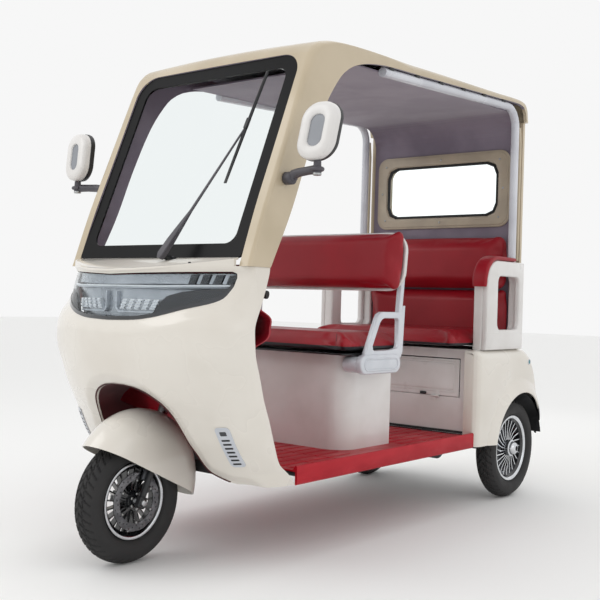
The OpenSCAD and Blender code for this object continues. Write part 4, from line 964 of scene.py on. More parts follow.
def build_fenders():
    low = 300
    wanted = sorted(set([row[0] for row in FENDER] + np.linspace(FENDER[0][0], FENDER[-1][0], 110).tolist()),
                    reverse=True)
    ordered = list(reversed(FENDER))
    table = smooth_table(ordered, list(reversed(wanted)))[::-1]
    rings = []
    for i, (x, top, wide, inner, radius) in enumerate(table):
        sides = []
        for t in (0, 6):
            w, high, r, inn = wide - t, top - t, max(radius - t, 4), inner + t
            x_in = x + (t if i == len(table) - 1 else (-t if i == 0 else 0))
            outer = [(w, low + (high - r - low) * k / 40) for k in range(41)]
            outer += [(w - r + r * math.cos(a), high - r + r * math.sin(a)) for a in
                      (math.pi / 2 * k / 8 for k in range(1, 9))]
            outer += [(inn + (w - r - inn) * (1 - k / 6), high) for k in range(1, 7)]
            outer += [(inn, low + (high - low) * (1 - k / 4)) for k in range(1, 5)]
            path = []
            for y, z in outer:
                reach = math.hypot(x - REAR_X, z - REAR_R)
                flare = 0.0
                if y > (w + inn) / 2 and x > REAR_X - 262 and reach < ARCH_R + FLARE and z < high - r * 0.6:
                    near = 1 - max(reach - ARCH_R, 0) / FLARE
                    flare = 20 * min(near * 1.25, 1.0) ** 0.8
                path.append((x_in, y + flare, z))
            sides.append(path)
        rings.append(sides[0] + list(reversed(sides[1])))
    skin = loft("fender_skins", rings, [FINISH["pearl"], FINISH["black"]])
    wheel = [(REAR_X + ARCH_R * math.cos(a), REAR_R + ARCH_R * math.sin(a)) for a in
             (2 * math.pi * k / 96 for k in range(96))]
    carve(skin, prism("cutter", wheel, lambda u, v, w: (u, w, v), (342, 560)))
    hub = [(REAR_X + 110 * math.cos(a), REAR_R + 110 * math.sin(a)) for a in
           (2 * math.pi * k / 48 for k in range(48))]
    carve(skin, prism("cutter", hub, lambda u, v, w: (u, w, v), (300, 400)))
    carve(skin, prism("cutter", [(REAR_X - 110, 40), (REAR_X + 110, 40), (REAR_X + 110, REAR_R),
                                 (REAR_X - 110, REAR_R)], lambda u, v, w: (u, w, v), (300, 400)))
    # The lowest stretch behind the wheel is the black splash guard
    for face in skin.data.polygons:
        centre = face.center * 1000
        if centre.x - AXLE_X < REAR_X - 214 and centre.z < 486 - (centre.x - AXLE_X - REAR_X + 214) * 0.25:
            face.material_index = 1
    crease(skin, 34)
    mirrored(skin)
    x0, high, wide = FLOOR_REAR - 0.3, 743, 470
    end = [(421, 300), (wide - 1, 300), (wide - 1, high - 18)] + arc(wide - 17, high - 17, 16, 0, 90, 6) + [(421, high - 1)]
    front = bevel(prism("end", end, lambda u, v, w: (w, u, v), (x0 - 7, x0), [FINISH["pearl"]]), 2, 2)
    skin = join("skin", [skin, mirrored(front)])
    cap = button("filler", (REAR_X - 90, 500, 688), 10, -6, 5, 2, [FINISH["teal"]])
    ring = lathe("filler_ring", [(10, -4), (14, -4), (15, 3), (13, 5), (10, 4)], (REAR_X - 90, 500, 688),
                 [FINISH["chrome"]], 40)
    fittings = mirrored(join("fittings", [cap, ring]))
    finish_piece(join("rear_fender_skins", [skin, fittings]), "cab", ["rear_fenders"])
    guards = []
    for side in (1, -1):
        liner = [arc(REAR_X, REAR_R, ARCH_R + 4, 12, 168, 30), arc(REAR_X, REAR_R, ARCH_R + 1, 168, 12, 30)]
        outline = liner[0] + liner[1]
        guards.append(prism("guard", outline, lambda u, v, w, side=side: (u, side * w, v), (346, 486),
                            [FINISH["black"]]))
    finish_piece(crease(join("wheel_house_liners", guards)), "cab")


def build_floor():
    low, high = 296, 350
    floor = FINISH["floor"]
    parts = []
    half = 480
    section = [(-half + 5, low), (-half, low + 5), (-half, high + 10), (-half + 2, high + 15),
               (-half + 7, high + 17), (-half + 12, high + 15), (-half + 19, high + 2), (-half + 24, high)]
    section = section + [(-y, z) for y, z in reversed(section)]
    section += [(half - 9, high - 6), (half - 9, low), (half - 5, low)][0:0]
    under = [(half - 10, low), (half - 10, high - 6), (-half + 10, high - 6), (-half + 10, low)]
    ring = section + under
    rings = [[(x, y, z) for y, z in ring] for x in np.linspace(FLOOR_REAR, -380, 12)]
    parts.append(crease(loft("pan", rings, [floor]), 50))
    for i in range(15):
        y = -420 + 60 * i
        for x0, x1 in ((-852, -412), (FLOOR_REAR + 12, -1242)):
            rib = prism("rib", [(x0, y - 20), (x1, y - 20), (x1, y + 20), (x0, y + 20)],
                        lambda u, v, w: (u, v, w), (high - 1, high + 2.2), [floor])
            parts.append(bevel(rib, 2.2, 2))
    for x in (-700, -560, -1420, -1570):
        groove = prism("cross_rib", [(x - 9, -444), (x + 9, -444), (x + 9, 444), (x - 9, 444)],
                       lambda u, v, w: (u, v, w), (high - 1, high + 2.6), [floor])
        parts.append(bevel(groove, 2.2, 2))
    finish_piece(join("floor_skin", parts), "cab", ["floor_pan"])


def build_boxes():
    """Rear seat box with its embossed door, and a rubber strip along its foot."""
    white = FINISH["white"]
    face_x = FLOOR_REAR - 30
    shell = []
    top, bottom = 757, 350
    door = 382
    outline = [(-415, bottom), (415, bottom), (415, top), (-415, top)]
    hole = [(-door, 524), (door, 524), (door, 712), (-door, 712)]
    shell.append(plate("front", [outline, hole], 6, 1.2, on_face(face_x - 3, 0, 0), [white]))
    for side in (1, -1):
        shell.append(bevel(prism("side", [(face_x - 1, bottom), (face_x - 117, bottom), (face_x - 117, top),
                                          (face_x - 1, top)],
                                 lambda u, v, w, side=side: (u, side * w, v), (409, 415), [white]), 1.2, 2))
    shell.append(bevel(prism("top", [(face_x - 2, -414), (face_x - 2, 414), (WALL_X + 22, 325), (WALL_X + 22, -325)],
                             lambda u, v, w: (u, v, w), (751, 757), [white]), 1.2, 2))
    shell.append(prism("bay", [(face_x - 400, -310), (face_x - 400, 310), (face_x - 396, 310), (face_x - 396, -310)],
                       lambda u, v, w: (u, v, w), (390, 750), [FINISH["black"]]))
    shell.append(bevel(prism("shelf", [(face_x - 396, -320), (face_x - 396, 320), (face_x - 8, 400), (face_x - 8, -400)],
                             lambda u, v, w: (u, v, w), (505, 511), [white]), 1, 2))
    # Fixed hinge leaves and pins
    for y in (-250, 250):
        shell.append(tube("knuckle", [(face_x + 7, y - 22, 524), (face_x + 7, y, 524)], 6, [white], 20))
        shell.append(tube("pin", [(face_x + 7, y - 21, 524), (face_x + 7, y + 23, 524)], 3, [white], 16))
        shell.append(bevel(prism("leaf", [(y - 22, 500), (y, 500), (y, 524), (y - 22, 524)],
                                 lambda u, v, w: (w, u, v), (face_x, face_x + 3), [white]), 0.6, 2))
    finish_piece(join("rear_box_skin", shell), "cab", ["rear_seat_box"])
    panel = plate("panel", [rounded(2 * door - 10, 181, 5, 0, 616.5)], 6, 1.4, on_face(face_x - 3, 0, 0), [white])
    raised = plate("raised", [rounded(2 * door - 64, 128, 12, 0, 622)], 5, 2.2, on_face(face_x + 1, 0, 0), [white])
    rim = plate("rim", [rounded(2 * door - 40, 152, 16, 0, 622), rounded(2 * door - 48, 144, 13, 0, 622)], 4, 1.4,
                on_face(face_x + 0.6, 0, 0), [white])
    latch = bevel(prism("latch", rounded(34, 14, 4, 180, 534), lambda u, v, w: (w, u, v),
                        (face_x - 1, face_x + 6), [FINISH["black"]]), 1.5, 2)
    knuckles = []
    for y in (-250, 250):
        knuckles.append(tube("knuckle", [(face_x + 7, y + 1, 524), (face_x + 7, y + 23, 524)], 6, [white], 20))
        knuckles.append(bevel(prism("leaf", [(y + 1, 525), (y + 23, 525), (y + 23, 549), (y + 1, 549)],
                                    lambda u, v, w: (w, u, v), (face_x - 1, face_x + 3), [white]), 0.6, 2))
    finish_piece(join("rear_box_door_skin", [panel, raised, rim, latch] + knuckles), "storage_door",
                 ["rear_box_door"])
    toe = bevel(prism("toe", [(face_x, -416), (face_x, 416), (face_x + 5, 416), (face_x + 5, -416)],
                      lambda u, v, w: (u, v, w), (352, 364), [FINISH["rubber"]]), 1.5, 2)
    finish_piece(join("rear_box_foot_strip", [toe]), "cab")


# ---------------------------------------------------------------- seats

def quilt(name, low, high, radius, finish, drape, pins=None, turn=None, shrink=5, cap=26, pressure=4.0,
          voxel=9.0):
    """A stuffed cushion: a rounded block blown up by a cloth simulation inside its stitched edges.

    low and high are its corners in millimetres; drape says how soft it is; pins tells which points are held."""
    lo, hi = np.array(low, float) + shrink, np.array(high, float) - shrink
    work = bmesh.new()
    bmesh.ops.create_cube(work, size=1.0)
    for v in work.verts:
        v.co = Vector((v.co.x * (hi[0] - lo[0]), v.co.y * (hi[1] - lo[1]), v.co.z * (hi[2] - lo[2]))) / 1000
    mesh = bpy.data.meshes.new(name)
    work.to_mesh(mesh)
    work.free()
    obj = bpy.data.objects.new(name, mesh)
    bpy.context.scene.collection.objects.link(obj)
    rounding = obj.modifiers.new("round", "BEVEL")
    rounding.width, rounding.segments, rounding.limit_method = radius / 1000, 6, "NONE"
    settle(obj)
    remesh = obj.modifiers.new("remesh", "REMESH")
    remesh.mode, remesh.voxel_size = "VOXEL", voxel / 1000
    settle(obj)
    rest = np.array([v.co for v in obj.data.vertices])
    half = (hi - lo) / 2000
    held = obj.vertex_groups.new(name="held")
    weights = pins(rest / half, rest) if pins else np.zeros(len(rest))
    for i in np.nonzero(weights > 0.02)[0]:
        held.add([int(i)], float(min(weights[i], 1.0)), "REPLACE")
    cloth = obj.modifiers.new("cloth", "CLOTH")
    setting = cloth.settings
    setting.quality = 4
    setting.mass = 0.3
    setting.tension_stiffness = setting.compression_stiffness = drape
    setting.shear_stiffness = drape
    setting.bending_stiffness = 0.6
    setting.use_pressure = True
    setting.uniform_pressure_force = pressure
    setting.effector_weights.gravity = 0.0
    setting.vertex_group_mass = "held"
    cloth.collision_settings.use_collision = False
    cloth.point_cache.frame_start, cloth.point_cache.frame_end = 1, 16
    scene = bpy.context.scene
    for step in range(1, 17):
        scene.frame_set(step)
    settle(obj)
    scene.frame_set(1)
    now = np.array([v.co for v in obj.data.vertices])
    move = now - rest
    size = np.linalg.norm(move, axis=1)
    limit = cap / 1000
    move *= (np.minimum(size, limit) / np.maximum(size, 1e-9))[:, None]
    now = rest + move
    obj.data.vertices.foreach_set("co", now.ravel())
    smooth = obj.modifiers.new("smooth", "SMOOTH")
    smooth.factor, smooth.iterations = 0.5, 6
    settle(obj)
    # Fit the crowned form to the room that its solid holds
    co = np.array([v.co for v in obj.data.vertices])
    centre = (np.array(low, float) + np.array(high, float)) / 2
    size = (np.array(high, float) - np.array(low, float)) / 2000
    span = np.abs(co).max(axis=0)
    co *= size / span
    obj.data.vertices.foreach_set("co", co.ravel())
    obj.data.materials.clear()
    obj.data.materials.append(finish)
    place = Matrix.Translation(at(*centre))
    obj.data.transform(turn @ place if turn is not None else place)
    obj.data.polygons.foreach_set("use_smooth", [True] * len(obj.data.polygons))
    return obj


def seam_tube(name, points, finish, radius=2.2):
    return tube(name, points, radius, [finish], 8)


def surface_hit(obj, origin, way):
    hit, place, _, _ = obj.ray_cast(origin, way)
    return place if hit else None


def stitched_line(name, obj, points, way, finish, radius=1.8, lift=0.0):
    """A sewn cord laid on a cushion where rays from the given points meet it."""
    way = Vector(way)
    found = [surface_hit(obj, p, way) for p in points]
    path = [p - way * (lift / 1000) for p in found if p is not None]
    if len(path) < 3:
        raise RuntimeError(name + " misses its cushion")
    back = [((p.x * 1000 - AXLE_X), p.y * 1000, p.z * 1000) for p in path]
    return seam_tube(name, back, finish, radius)


def split_band(obj, z_edge, band):
    """Gives the faces below a height the band's material, with a clean edge."""
    work = bmesh.new()
    work.from_mesh(obj.data)
    bmesh.ops.bisect_plane(work, geom=work.verts[:] + work.edges[:] + work.faces[:], plane_co=(0, 0, z_edge / 1000),
                           plane_no=(0, 0, 1))
    for face in work.faces:
        if face.calc_center_median().z < z_edge / 1000:
            face.material_index = 1
    work.to_mesh(obj.data)
    work.free()
    obj.data.materials.append(band)
    return obj


def hold_base(scaled, rest):
    """Holds a cushion's base, where it is stapled to its board."""
    base = np.clip((-scaled[:, 2] - 0.72) * 6, 0, 1)
    return base


def hold_back(scaled, rest):
    """Holds the rear face of a backrest, where it is stapled to its shell."""
    return np.clip((-scaled[:, 0] - 0.7) * 6, 0, 1)


def build_seats():
    red, black = FINISH["leather"], FINISH["band"]
    base = 750.3
    driver = quilt("driver_cushion", (-1212, -388, base), (-792, 388, 845), 34, red, 12, hold_base)
    split_band(driver, 788, black)
    work = []
    seam_y = [(-1190 + 380 * i / 20) for i in range(21)]
    lines = []
    for side in (1,):
        points = [at(x, side * (262 + 60 * ((x + 1001) / 190) ** 2), 900) for x in seam_y]
        lines.append(stitched_line("seam", driver, points, (0, 0, -1), black, 1.6, -0.6))
    leaves = []
    for y in (-180, 180):
        leaves.append(tube("knuckle", [(-1219, y + 1, 750), (-1219, y + 23, 750)], 6, [FINISH["zinc"]], 20))
        leaves.append(bevel(prism("leaf", [(y + 1, 751), (y + 23, 751), (y + 23, 775), (y + 1, 775)],
                                  lambda u, v, w: (w, u, v), (-1215, -1211), [FINISH["zinc"]]), 0.6, 2))
    board = bevel(prism("board", rounded(400, 750, 40, -1004, 0), lambda u, v, w: (u, v, w), (base, base + 8),
                        [FINISH["black"]]), 2, 2)
    finish_piece(driver, "seat_lid", ["driver_seat_cushion"])
    finish_piece(join("driver_cushion_board", leaves + [board]), "seat_lid")
    finish_piece(join("driver_cushion_seam", lines), "seat_lid")
    lean = Matrix.Translation(at(-1086, 0, 1028)) @ Matrix.Rotation(math.radians(-6), 4, "Y") @ Matrix.Translation(
        -at(-1086, 0, 1028))
    back = quilt("driver_backrest_pad", (-1122, -440, 1028), (-1050, 440, 1278), 33, red, 12, hold_back, lean, cap=22)
    finish_piece(back, "cab", ["driver_backrest"])
    edge = plate("backrest_shell", [rounded(884, 254, 84, 0, 125)], 15, 6,
                 lean @ on_face(-1086 - 43.6, 0, 1028), [FINISH["white"]])
    rim = plate("backrest_rim", [rounded(886, 256, 85, 0, 125), rounded(858, 228, 72, 0, 125)], 12, 4,
                lean @ on_face(-1086 - 35, 0, 1028), [FINISH["white"]])
    finish_piece(join("driver_backrest_shell_skin", [edge, rim]), "cab", ["driver_backrest_shell"])
    rear = quilt("rear_cushion", (WALL_X + 74, -415, 757.3), (FLOOR_REAR + 112, 415, 852), 34, red, 12, hold_base)
    split_band(rear, 790, black)
    finish_piece(rear, "cab", ["rear_seat_cushion"])
    upper = quilt("rear_back_upper", (WALL_X + 0.3, -415, 1057), (WALL_X + 108, 415, 1327), 46, red, 12, hold_back,
                  cap=24)
    lower = quilt("rear_back_lower", (WALL_X + 0.3, -415, 757.3), (WALL_X + 73.5, 415, 1054), 28, red, 12, hold_back,
                  cap=22)
    finish_piece(upper, "cab", ["rear_backrests"])
    finish_piece(lower, "cab")


# ---------------------------------------------------------------- wheels

TYRE_HALF = 49
RIM_HALF = 35


def build_tyre(name, radius, rim_r, x, y, body, node):
    """A tyre with a directional block tread cut into its crown."""
    w = TYRE_HALF
    outer = [(rim_r + 1, -RIM_HALF + 8), (rim_r + 6, -w + 10), (rim_r + 16, -w + 3), (rim_r + 34, -w),
             (radius - 40, -w + 1), (radius - 26, -w + 5)]
    shoulder = []
    for k in range(41):
        a = -1 + 2 * k / 40
        shoulder.append((radius - 20 * abs(a) ** 2.6, (w - 7) * a))
    profile = outer + shoulder + [(r, -o) for r, o in reversed(outer)] + [(rim_r - 7, RIM_HALF - 7),
                                                                           (rim_r - 7, -RIM_HALF + 7)]
    steps = 420
    start = len(outer)
    verts = []
    for i in range(steps):
        a = 2 * math.pi * i / steps
        for k, (r, o) in enumerate(profile):
            depth = 0.0
            if start <= k < start + 41:
                across = -1 + 2 * (k - start) / 40
                around = a / (2 * math.pi) * 42
                # Slanted grooves run from the shoulders to the middle, with one wavy groove on each side
                phase = (around + abs(across) * 1.35 + (0.5 if across > 0 else 0.0)) % 1.0
                if 0.1 < abs(across) < 0.97 and phase < 0.24:
                    depth = 5.5
                if abs(abs(across) - 0.42 - 0.05 * math.sin(around * 2 * math.pi)) < 0.035:
                    depth = 4.0
                if abs(across) < 0.03:
                    depth = 2.5
            elif k in (3, 4) or k in (start + 41 + 1, start + 41 + 2):
                depth = -0.8
            rr = r - depth
            verts.append((x + rr * math.cos(a), y + o, radius + rr * math.sin(a)))
    tyre = outward(solid(name, verts, rings_to_faces(steps, len(profile), True, True), [FINISH["tyre"]]))
    crease(tyre, 38)
    finish_piece(tyre, body, [node])


def rim_barrel(name, rim_r, x, y, radius, lip, barrel, wide=True):
    """Rim ring with polished lips outside and a lacquered well inside."""
    w = RIM_HALF
    profile = [(rim_r - 27, -w + 17), (rim_r - 17, -w + 6), (rim_r - 13, -w + 1), (rim_r - 8, -w - 1),
               (rim_r - 2, -w), (rim_r, -w + 3), (rim_r - 2, -w + 6), (rim_r - 8, -w + 8), (rim_r - 8, w - 8),
               (rim_r - 2, w - 6), (rim_r, w - 3), (rim_r - 2, w), (rim_r - 8, w + 1), (rim_r - 13, w - 1),
               (rim_r - 17, w - 6), (rim_r - 27, w - 17)]
    index = [1, 0, 0, 0, 0, 0, 1, 1, 1, 0, 0, 0, 0, 0, 1, 1] if wide else [1, 1, 1, 0, 0, 1, 1, 1, 1, 1, 1, 0, 0, 1, 1, 1]
    return crease(lathe(name, profile, (x, y, radius), [lip, barrel], 144, "y", index), 40)


def spoke(name, x, y, z, angle, inner, outer, half_in, half_out, sweep, thick, finish, edge):
    """One curved blade from the hub to the rim, with its front edge in the edge finish."""
    rows = []
    for i in range(9):
        t = i / 8
        r = inner + (outer - inner) * t
        a = angle + sweep * math.sin(t * math.pi / 2)
        h = half_in + (half_out - half_in) * t
        across = Vector((-math.sin(a), 0, math.cos(a)))
        centre = Vector((x + r * math.cos(a), y, z + r * math.sin(a)))
        dish = 4 * math.sin(t * math.pi)
        rows.append([centre + across * thick / 2 + Vector((0, -h + dish, 0)),
                     centre - across * thick / 2 + Vector((0, -h + dish, 0)),
                     centre - across * thick / 2 + Vector((0, h - dish, 0)),
                     centre + across * thick / 2 + Vector((0, h - dish, 0))])
    verts = [tuple(p) for row in rows for p in row]
    faces = rings_to_faces(9, 4, False, True) + [(3, 2, 1, 0), (32, 33, 34, 35)]
    index = [1 if i % 4 == 2 else 0 for i in range(32)] + [0, 0]
    blade = solid(name, verts, faces, [finish, edge], index=index)
    outward(blade)
    return crease(blade, 30)


def build_front_wheel():
    x, y, z = 0, 0, FRONT_R
    build_tyre("front_tyre_tread", FRONT_R, 141, x, y, "front_wheel", "front_tyre")
    black, bright = FINISH["wheel_black"], FINISH["machined"]
    parts = [rim_barrel("barrel", 141, x, y, z, bright, black, wide=False)]
    for k in range(20):
        a = 2 * math.pi * k / 20
        parts.append(spoke("blade", x, y, z, a, 34, 122, 19, 15, 0.13, 5.2, black, black))
    parts.append(crease(lathe("hub", [(12.2, -42), (34, -42), (38, -36), (38, -24), (31, -18), (31, 18), (38, 24),
                                      (38, 36), (34, 42), (12.2, 42)], (x, y, z), [black], 96), 40))
    for side in (-1, 1):
        parts.append(crease(lathe("seal", [(13, side * 42.2), (24, side * 42.2), (23, side * 46), (13, side * 46)],
                                  (x, y, z), [FINISH["machined"]], 64), 40))
    for k in range(3):
        a = 2 * math.pi * (k + 0.4) / 3
        parts.append(button("weight", (x + 110 * math.cos(a), y - 18, z + 110 * math.sin(a)), 5, -2, 4, 1,
                            [FINISH["zinc"]], "y", 16))
    finish_piece(join("front_rim_spoked", parts), "front_wheel", ["front_rim"])
    build_disc()


def build_disc():
    z = FRONT_R
    steel = FINISH["disc"]
    verts, faces = [], []
    outline = []
    for k in range(180):
        a = 2 * math.pi * k / 180
        outline.append(((108 - 2.2 * (0.5 + 0.5 * math.cos(12 * a)) ** 3) * math.cos(a),
                        (108 - 2.2 * (0.5 + 0.5 * math.cos(12 * a)) ** 3) * math.sin(a)))
    loops = [outline, [(79 * math.cos(2 * math.pi * k / 96), 79 * math.sin(2 * math.pi * k / 96)) for k in range(96)]]
    for k in range(36):
        a = 2 * math.pi * k / 36
        r = 87 + 7 * (k % 3)
        loops.append([(r * math.cos(a) + 2.9 * math.cos(b), r * math.sin(a) + 2.9 * math.sin(b))
                      for b in (2 * math.pi * j / 12 for j in range(12))])
    place = Matrix.Translation(at(0, 44, z)) @ Matrix.Rotation(math.pi / 2, 4, "X")
    parts = [plate("rotor", loops, 4, 0.5, place, [steel])]
    for k in range(6):
        a = math.radians(60 * k + 30)
        arm = [(30, -7), (60, -5), (81, -9), (81, 9), (60, 5), (30, 7)]
        turned = [(u * math.cos(a) - v * math.sin(a), u * math.sin(a) + v * math.cos(a)) for u, v in arm]
        parts.append(plate("arm", [turned], 4.4, 0.8, place, [FINISH["wheel_black"]]))
        for r, s in ((76, 4.5), (27, 5.5)):
            parts.append(button("bolt", (r * math.cos(a), 44, z + r * math.sin(a)), s, -3, 5, 1.2, [FINISH["zinc"]],
                                "y", 12))
    parts.append(crease(lathe("carrier", [(18.5, 41.5), (35, 41.5), (36, 44), (35, 46.5), (18.5, 46.5)], (0, 0, z),
                              [FINISH["wheel_black"]], 72), 40))
    finish_piece(join("brake_disc_drilled", parts), "front_wheel", ["brake_disc"])


def build_rear_wheels():
    for side, word in ((1, "left"), (-1, "right")):
        x, y, z = REAR_X, side * REAR_Y, REAR_R
        body = "rear_wheel_" + word
        build_tyre("rear_tyre_tread_" + word, REAR_R, 166, x, y, body, "rear_tyre_" + word)
        black, chrome = FINISH["wheel_black"], FINISH["chrome"]
        parts = [rim_barrel("barrel", 166, x, y, z, chrome, black)]
        for k in range(24):
            a = 2 * math.pi * k / 24
            parts.append(spoke("blade", x, y, z, a, 40, 146, 21, 17, side * 0.30, 5.5, chrome, chrome))
        parts.append(crease(lathe("drum", [(100, -14), (100, 2), (60, 6), (60, -14)], (x, y - side * 4, z), [black],
                                  96), 40))
        parts.append(crease(lathe("hub", [(12.2, -42), (36, -42), (38, -38), (38, 26), (42, 30), (42, 38), (36, 42),
                                          (12.2, 42)], (x, y, z), [chrome], 96), 35))
        dome = [(13, side * 42.5), (34, side * 42.5), (33, side * 52), (26, side * 61), (15, side * 66),
                (13, side * 66)]
        parts.append(crease(lathe("cap", dome, (x, y, z), [chrome], 72), 40))
        for k in range(5):
            a = 2 * math.pi * k / 5
            parts.append(button("nut", (x + 39.5 * math.cos(a) * 0.72, y + side * 43, z + 39.5 * math.sin(a) * 0.72),
                                4.5, -4, 8, 1.5, [FINISH["zinc"]], "y", 6))
        finish_piece(join("rear_rim_spoked_" + word, parts), body, ["rear_rim_" + word])


# ---------------------------------------------------------------- fork, bar and small parts

RAKE = math.radians(24)
TRAIL = 80


def on_steering(x, y, s):
    """A point given ahead of the steering axis, left of it and along it."""
    return (TRAIL - s * math.sin(RAKE) + x * math.cos(RAKE), y, s * math.cos(RAKE) + x * math.sin(RAKE))


def steering_prism(name, outline, s0, s1, finish, edge=2.5):
    obj = prism(name, outline, lambda u, v, w: on_steering(u, v, w), (s0, s1), [finish])
    return bevel(obj, edge, 3)


def build_fork():
    black, steel = FINISH["black"], FINISH["frame"]
    axle_s = TRAIL * math.sin(RAKE) + FRONT_R * math.cos(RAKE)
    axle_x = FRONT_R * math.sin(RAKE) - TRAIL * math.cos(RAKE)
    leg_y = 67
    parts = [tube("stem", [on_steering(0, 0, 505), on_steering(0, 0, 1085)], 20, [FINISH["zinc"]], 32)]
    parts.append(lathe_steering("collar", [(20.5, 626), (26, 626), (27, 628), (27, 638), (25, 639.5), (20.5, 639.5)],
                                FINISH["zinc"]))
    parts.append(steering_prism("crown", [(-30, -82), (16 + axle_x, -82), (16 + axle_x, 82), (-30, 82)], 489, 521,
                                steel, 7))
    for side in (1, -1):
        y = side * leg_y
        path = [on_steering(axle_x, y, axle_s + 10), on_steering(axle_x, y, axle_s + 150)]
        parts.append(tube("slider", path, 12, [black], 28))
        parts.append(tube("tube", [on_steering(axle_x, y, axle_s + 130), on_steering(axle_x, y, 500)], 10.5,
                          [FINISH["chrome"]], 28))
        parts.append(lathe_leg("wiper_seal", [(11, 0), (13.6, 1), (13.6, 9), (11, 11)], axle_x, y, axle_s + 146, black))
        lug = [(axle_x - 17, y - 12), (axle_x + 17, y - 12), (axle_x + 17, y + 13), (axle_x - 17, y + 13)]
        parts.append(steering_prism("lug", lug, axle_s - 21, axle_s + 21, black, 5))
        nut = button("axle_nut", (0, side * 84, FRONT_R), 13, -5, 6, 2, [FINISH["zinc"]], "y", 6)
        parts.append(nut)
    parts.append(tube("axle", [(0, -84, FRONT_R), (0, 84, FRONT_R)], 12, [FINISH["zinc"]], 32))
    # Caliper: two bevelled halves over the disc, with its bridge
    for y0, y1 in ((30, 37.5), (50.5, 61)):
        outline = [(axle_x - 24, y0), (axle_x + 24, y0), (axle_x + 24, y1), (axle_x - 24, y1)]
        parts.append(steering_prism("caliper", outline, axle_s + 78, axle_s + 116, FINISH["cast"], 3))
    bridge = [(axle_x - 18, 31), (axle_x + 18, 31), (axle_x + 18, 60), (axle_x - 18, 60)]
    parts.append(steering_prism("bridge", bridge, axle_s + 110.5, axle_s + 117, FINISH["cast"], 2))
    finish_piece(join("fork_assembly", parts), "steering", ["fork"])


def lathe_steering(name, profile, finish):
    verts = []
    for i in range(48):
        a = 2 * math.pi * i / 48
        verts += [on_steering(r * math.cos(a), r * math.sin(a), s) for r, s in profile]
    return crease(outward(solid(name, verts, rings_to_faces(48, len(profile), True, True), [finish])), 40)


def lathe_leg(name, profile, x, y, s0, finish):
    verts = []
    for i in range(32):
        a = 2 * math.pi * i / 32
        verts += [on_steering(x + r * math.cos(a), y + r * math.sin(a), s0 + s) for r, s in profile]
    return crease(outward(solid(name, verts, rings_to_faces(32, len(profile), True, True), [finish])), 40)


def build_handlebar():
    black = FINISH["black"]
    parts = [lathe_steering("clamp", [(20.3, 1085.5), (25, 1085.5), (26, 1088), (26, 1118), (23, 1121), (3, 1121),
                                      (3, 1086)], FINISH["cast"])]
    up = 1105
    for side in (1, -1):
        parts.append(tube("bar", [on_steering(0, 0, up), on_steering(-4, side * 60, up), on_steering(-20, side * 150, up),
                                  on_steering(-30, side * 178, up)], 11, [FINISH["frame"]], 24))
        path = [on_steering(-20 - 35 * t, side * (150 + 130 * t), up) for t in (i / 24 for i in range(25))]
        radii = [16.5 if 0 < i < 24 and i % 2 else 15 for i in range(25)]
        parts.append(tube("grip", path, radii, [FINISH["rubber"]], 24))
        parts.append(tube("lever", [on_steering(20, side * 120, up - 4), on_steering(26, side * 170, up - 6),
                                    on_steering(14, side * 250, up - 8)], [6, 5, 4], [FINISH["cast"]], 14))
        block = [(-20, side * 108), (26, side * 108), (24, side * 146), (-24, side * 146)]
        parts.append(steering_prism("switch", block, up - 15, up + 15, black, 4))
    pod = [(x + 11, y) for x, y in rounded(90, 190, 20)]
    parts.append(steering_prism("pod", pod, 1119, 1152, black, 6))
    screen = [(x + 8, y) for x, y in rounded(58, 150, 10)]
    parts.append(steering_prism("screen", screen, 1150, 1154, FINISH["frit"], 1))
    finish_piece(join("handlebar_assembly", parts), "steering", ["handlebar"])


def build_mirrors():
    x, y, z = -238, 644, 1551
    turn = math.radians(8)

    def oval(w, h):
        return rounded(w, h, w / 2 * 0.92, steps=16)
    parts = []
    shell = [(140, 206, -12), (140, 206, 6), (137, 203, 13), (130, 196, 19), (116, 182, 23.5), (100, 166, 25.5),
             (66, 122, 25.5), (58, 114, 23), (55, 111, 17)]
    rings = []
    for w, h, out in shell:
        rings.append([mirror_point(u, v, out, turn, x, y, z) for u, v in oval(w, h)])
    parts.append(crease(loft("shell", rings, [FINISH["white"]]), 50))
    parts.append(prism("pane", oval(56, 112), lambda u, v, w: mirror_point(u, v, w, turn, x, y, z), (14, 18),
                       [FINISH["mirror_pane"]]))
    rim = [(136, 202, -11), (143, 209, -13), (144, 210, -24), (139, 205, -33), (130, 196, -35), (124, 190, -33)]
    rings = [[mirror_point(u, v, out, turn, x, y, z) for u, v in oval(w, h)] for w, h, out in rim]
    parts.append(crease(loft("rim", rings, [FINISH["black"]]), 50))
    housing = mirrored(join("mirror_shells", parts))
    finish_piece(housing, "cab", ["mirror_housings"])
    grey = FINISH["arm"]
    arm = [button("foot", (-262, 500, 1400), 23, -18, 20, 4, [grey], "y", 40)]
    arm.append(tube("elbow", [(-262, 512, 1400), (-262, 516, 1404), (-261, 522, 1412), (-258, 545, 1417),
                              (-250, 590, 1419), (-240, 640, 1420)], [19, 19, 18, 16, 15, 16], [grey], 28))
    ring = []
    for i in range(25):
        a = math.radians(-60 + 300 * i / 24)
        ring.append((-236 + 17 * math.cos(a), 644 + 17 * math.sin(a), 1420))
    arm.append(tube("clamp", ring, 8, [grey], 16))
    arm.append(tube("post", [(-236, 644, 1406), (-236, 644, 1449)], [15, 13], [grey], 28))
    arm.append(button("cap", (-236, 644, 1404), 15, -6, 4, 2, [FINISH["zinc"]], "z", 24))
    finish_piece(mirrored(join("mirror_arm_castings", arm)), "cab", ["mirror_arms"])


def mirror_point(u, v, w, turn, x, y, z):
    return (x + w * math.cos(turn) - u * math.sin(turn) - v * math.sin(math.radians(9)),
            y + w * math.sin(turn) + u * math.cos(turn) + v * math.sin(math.radians(5)), z + v * 0.985)


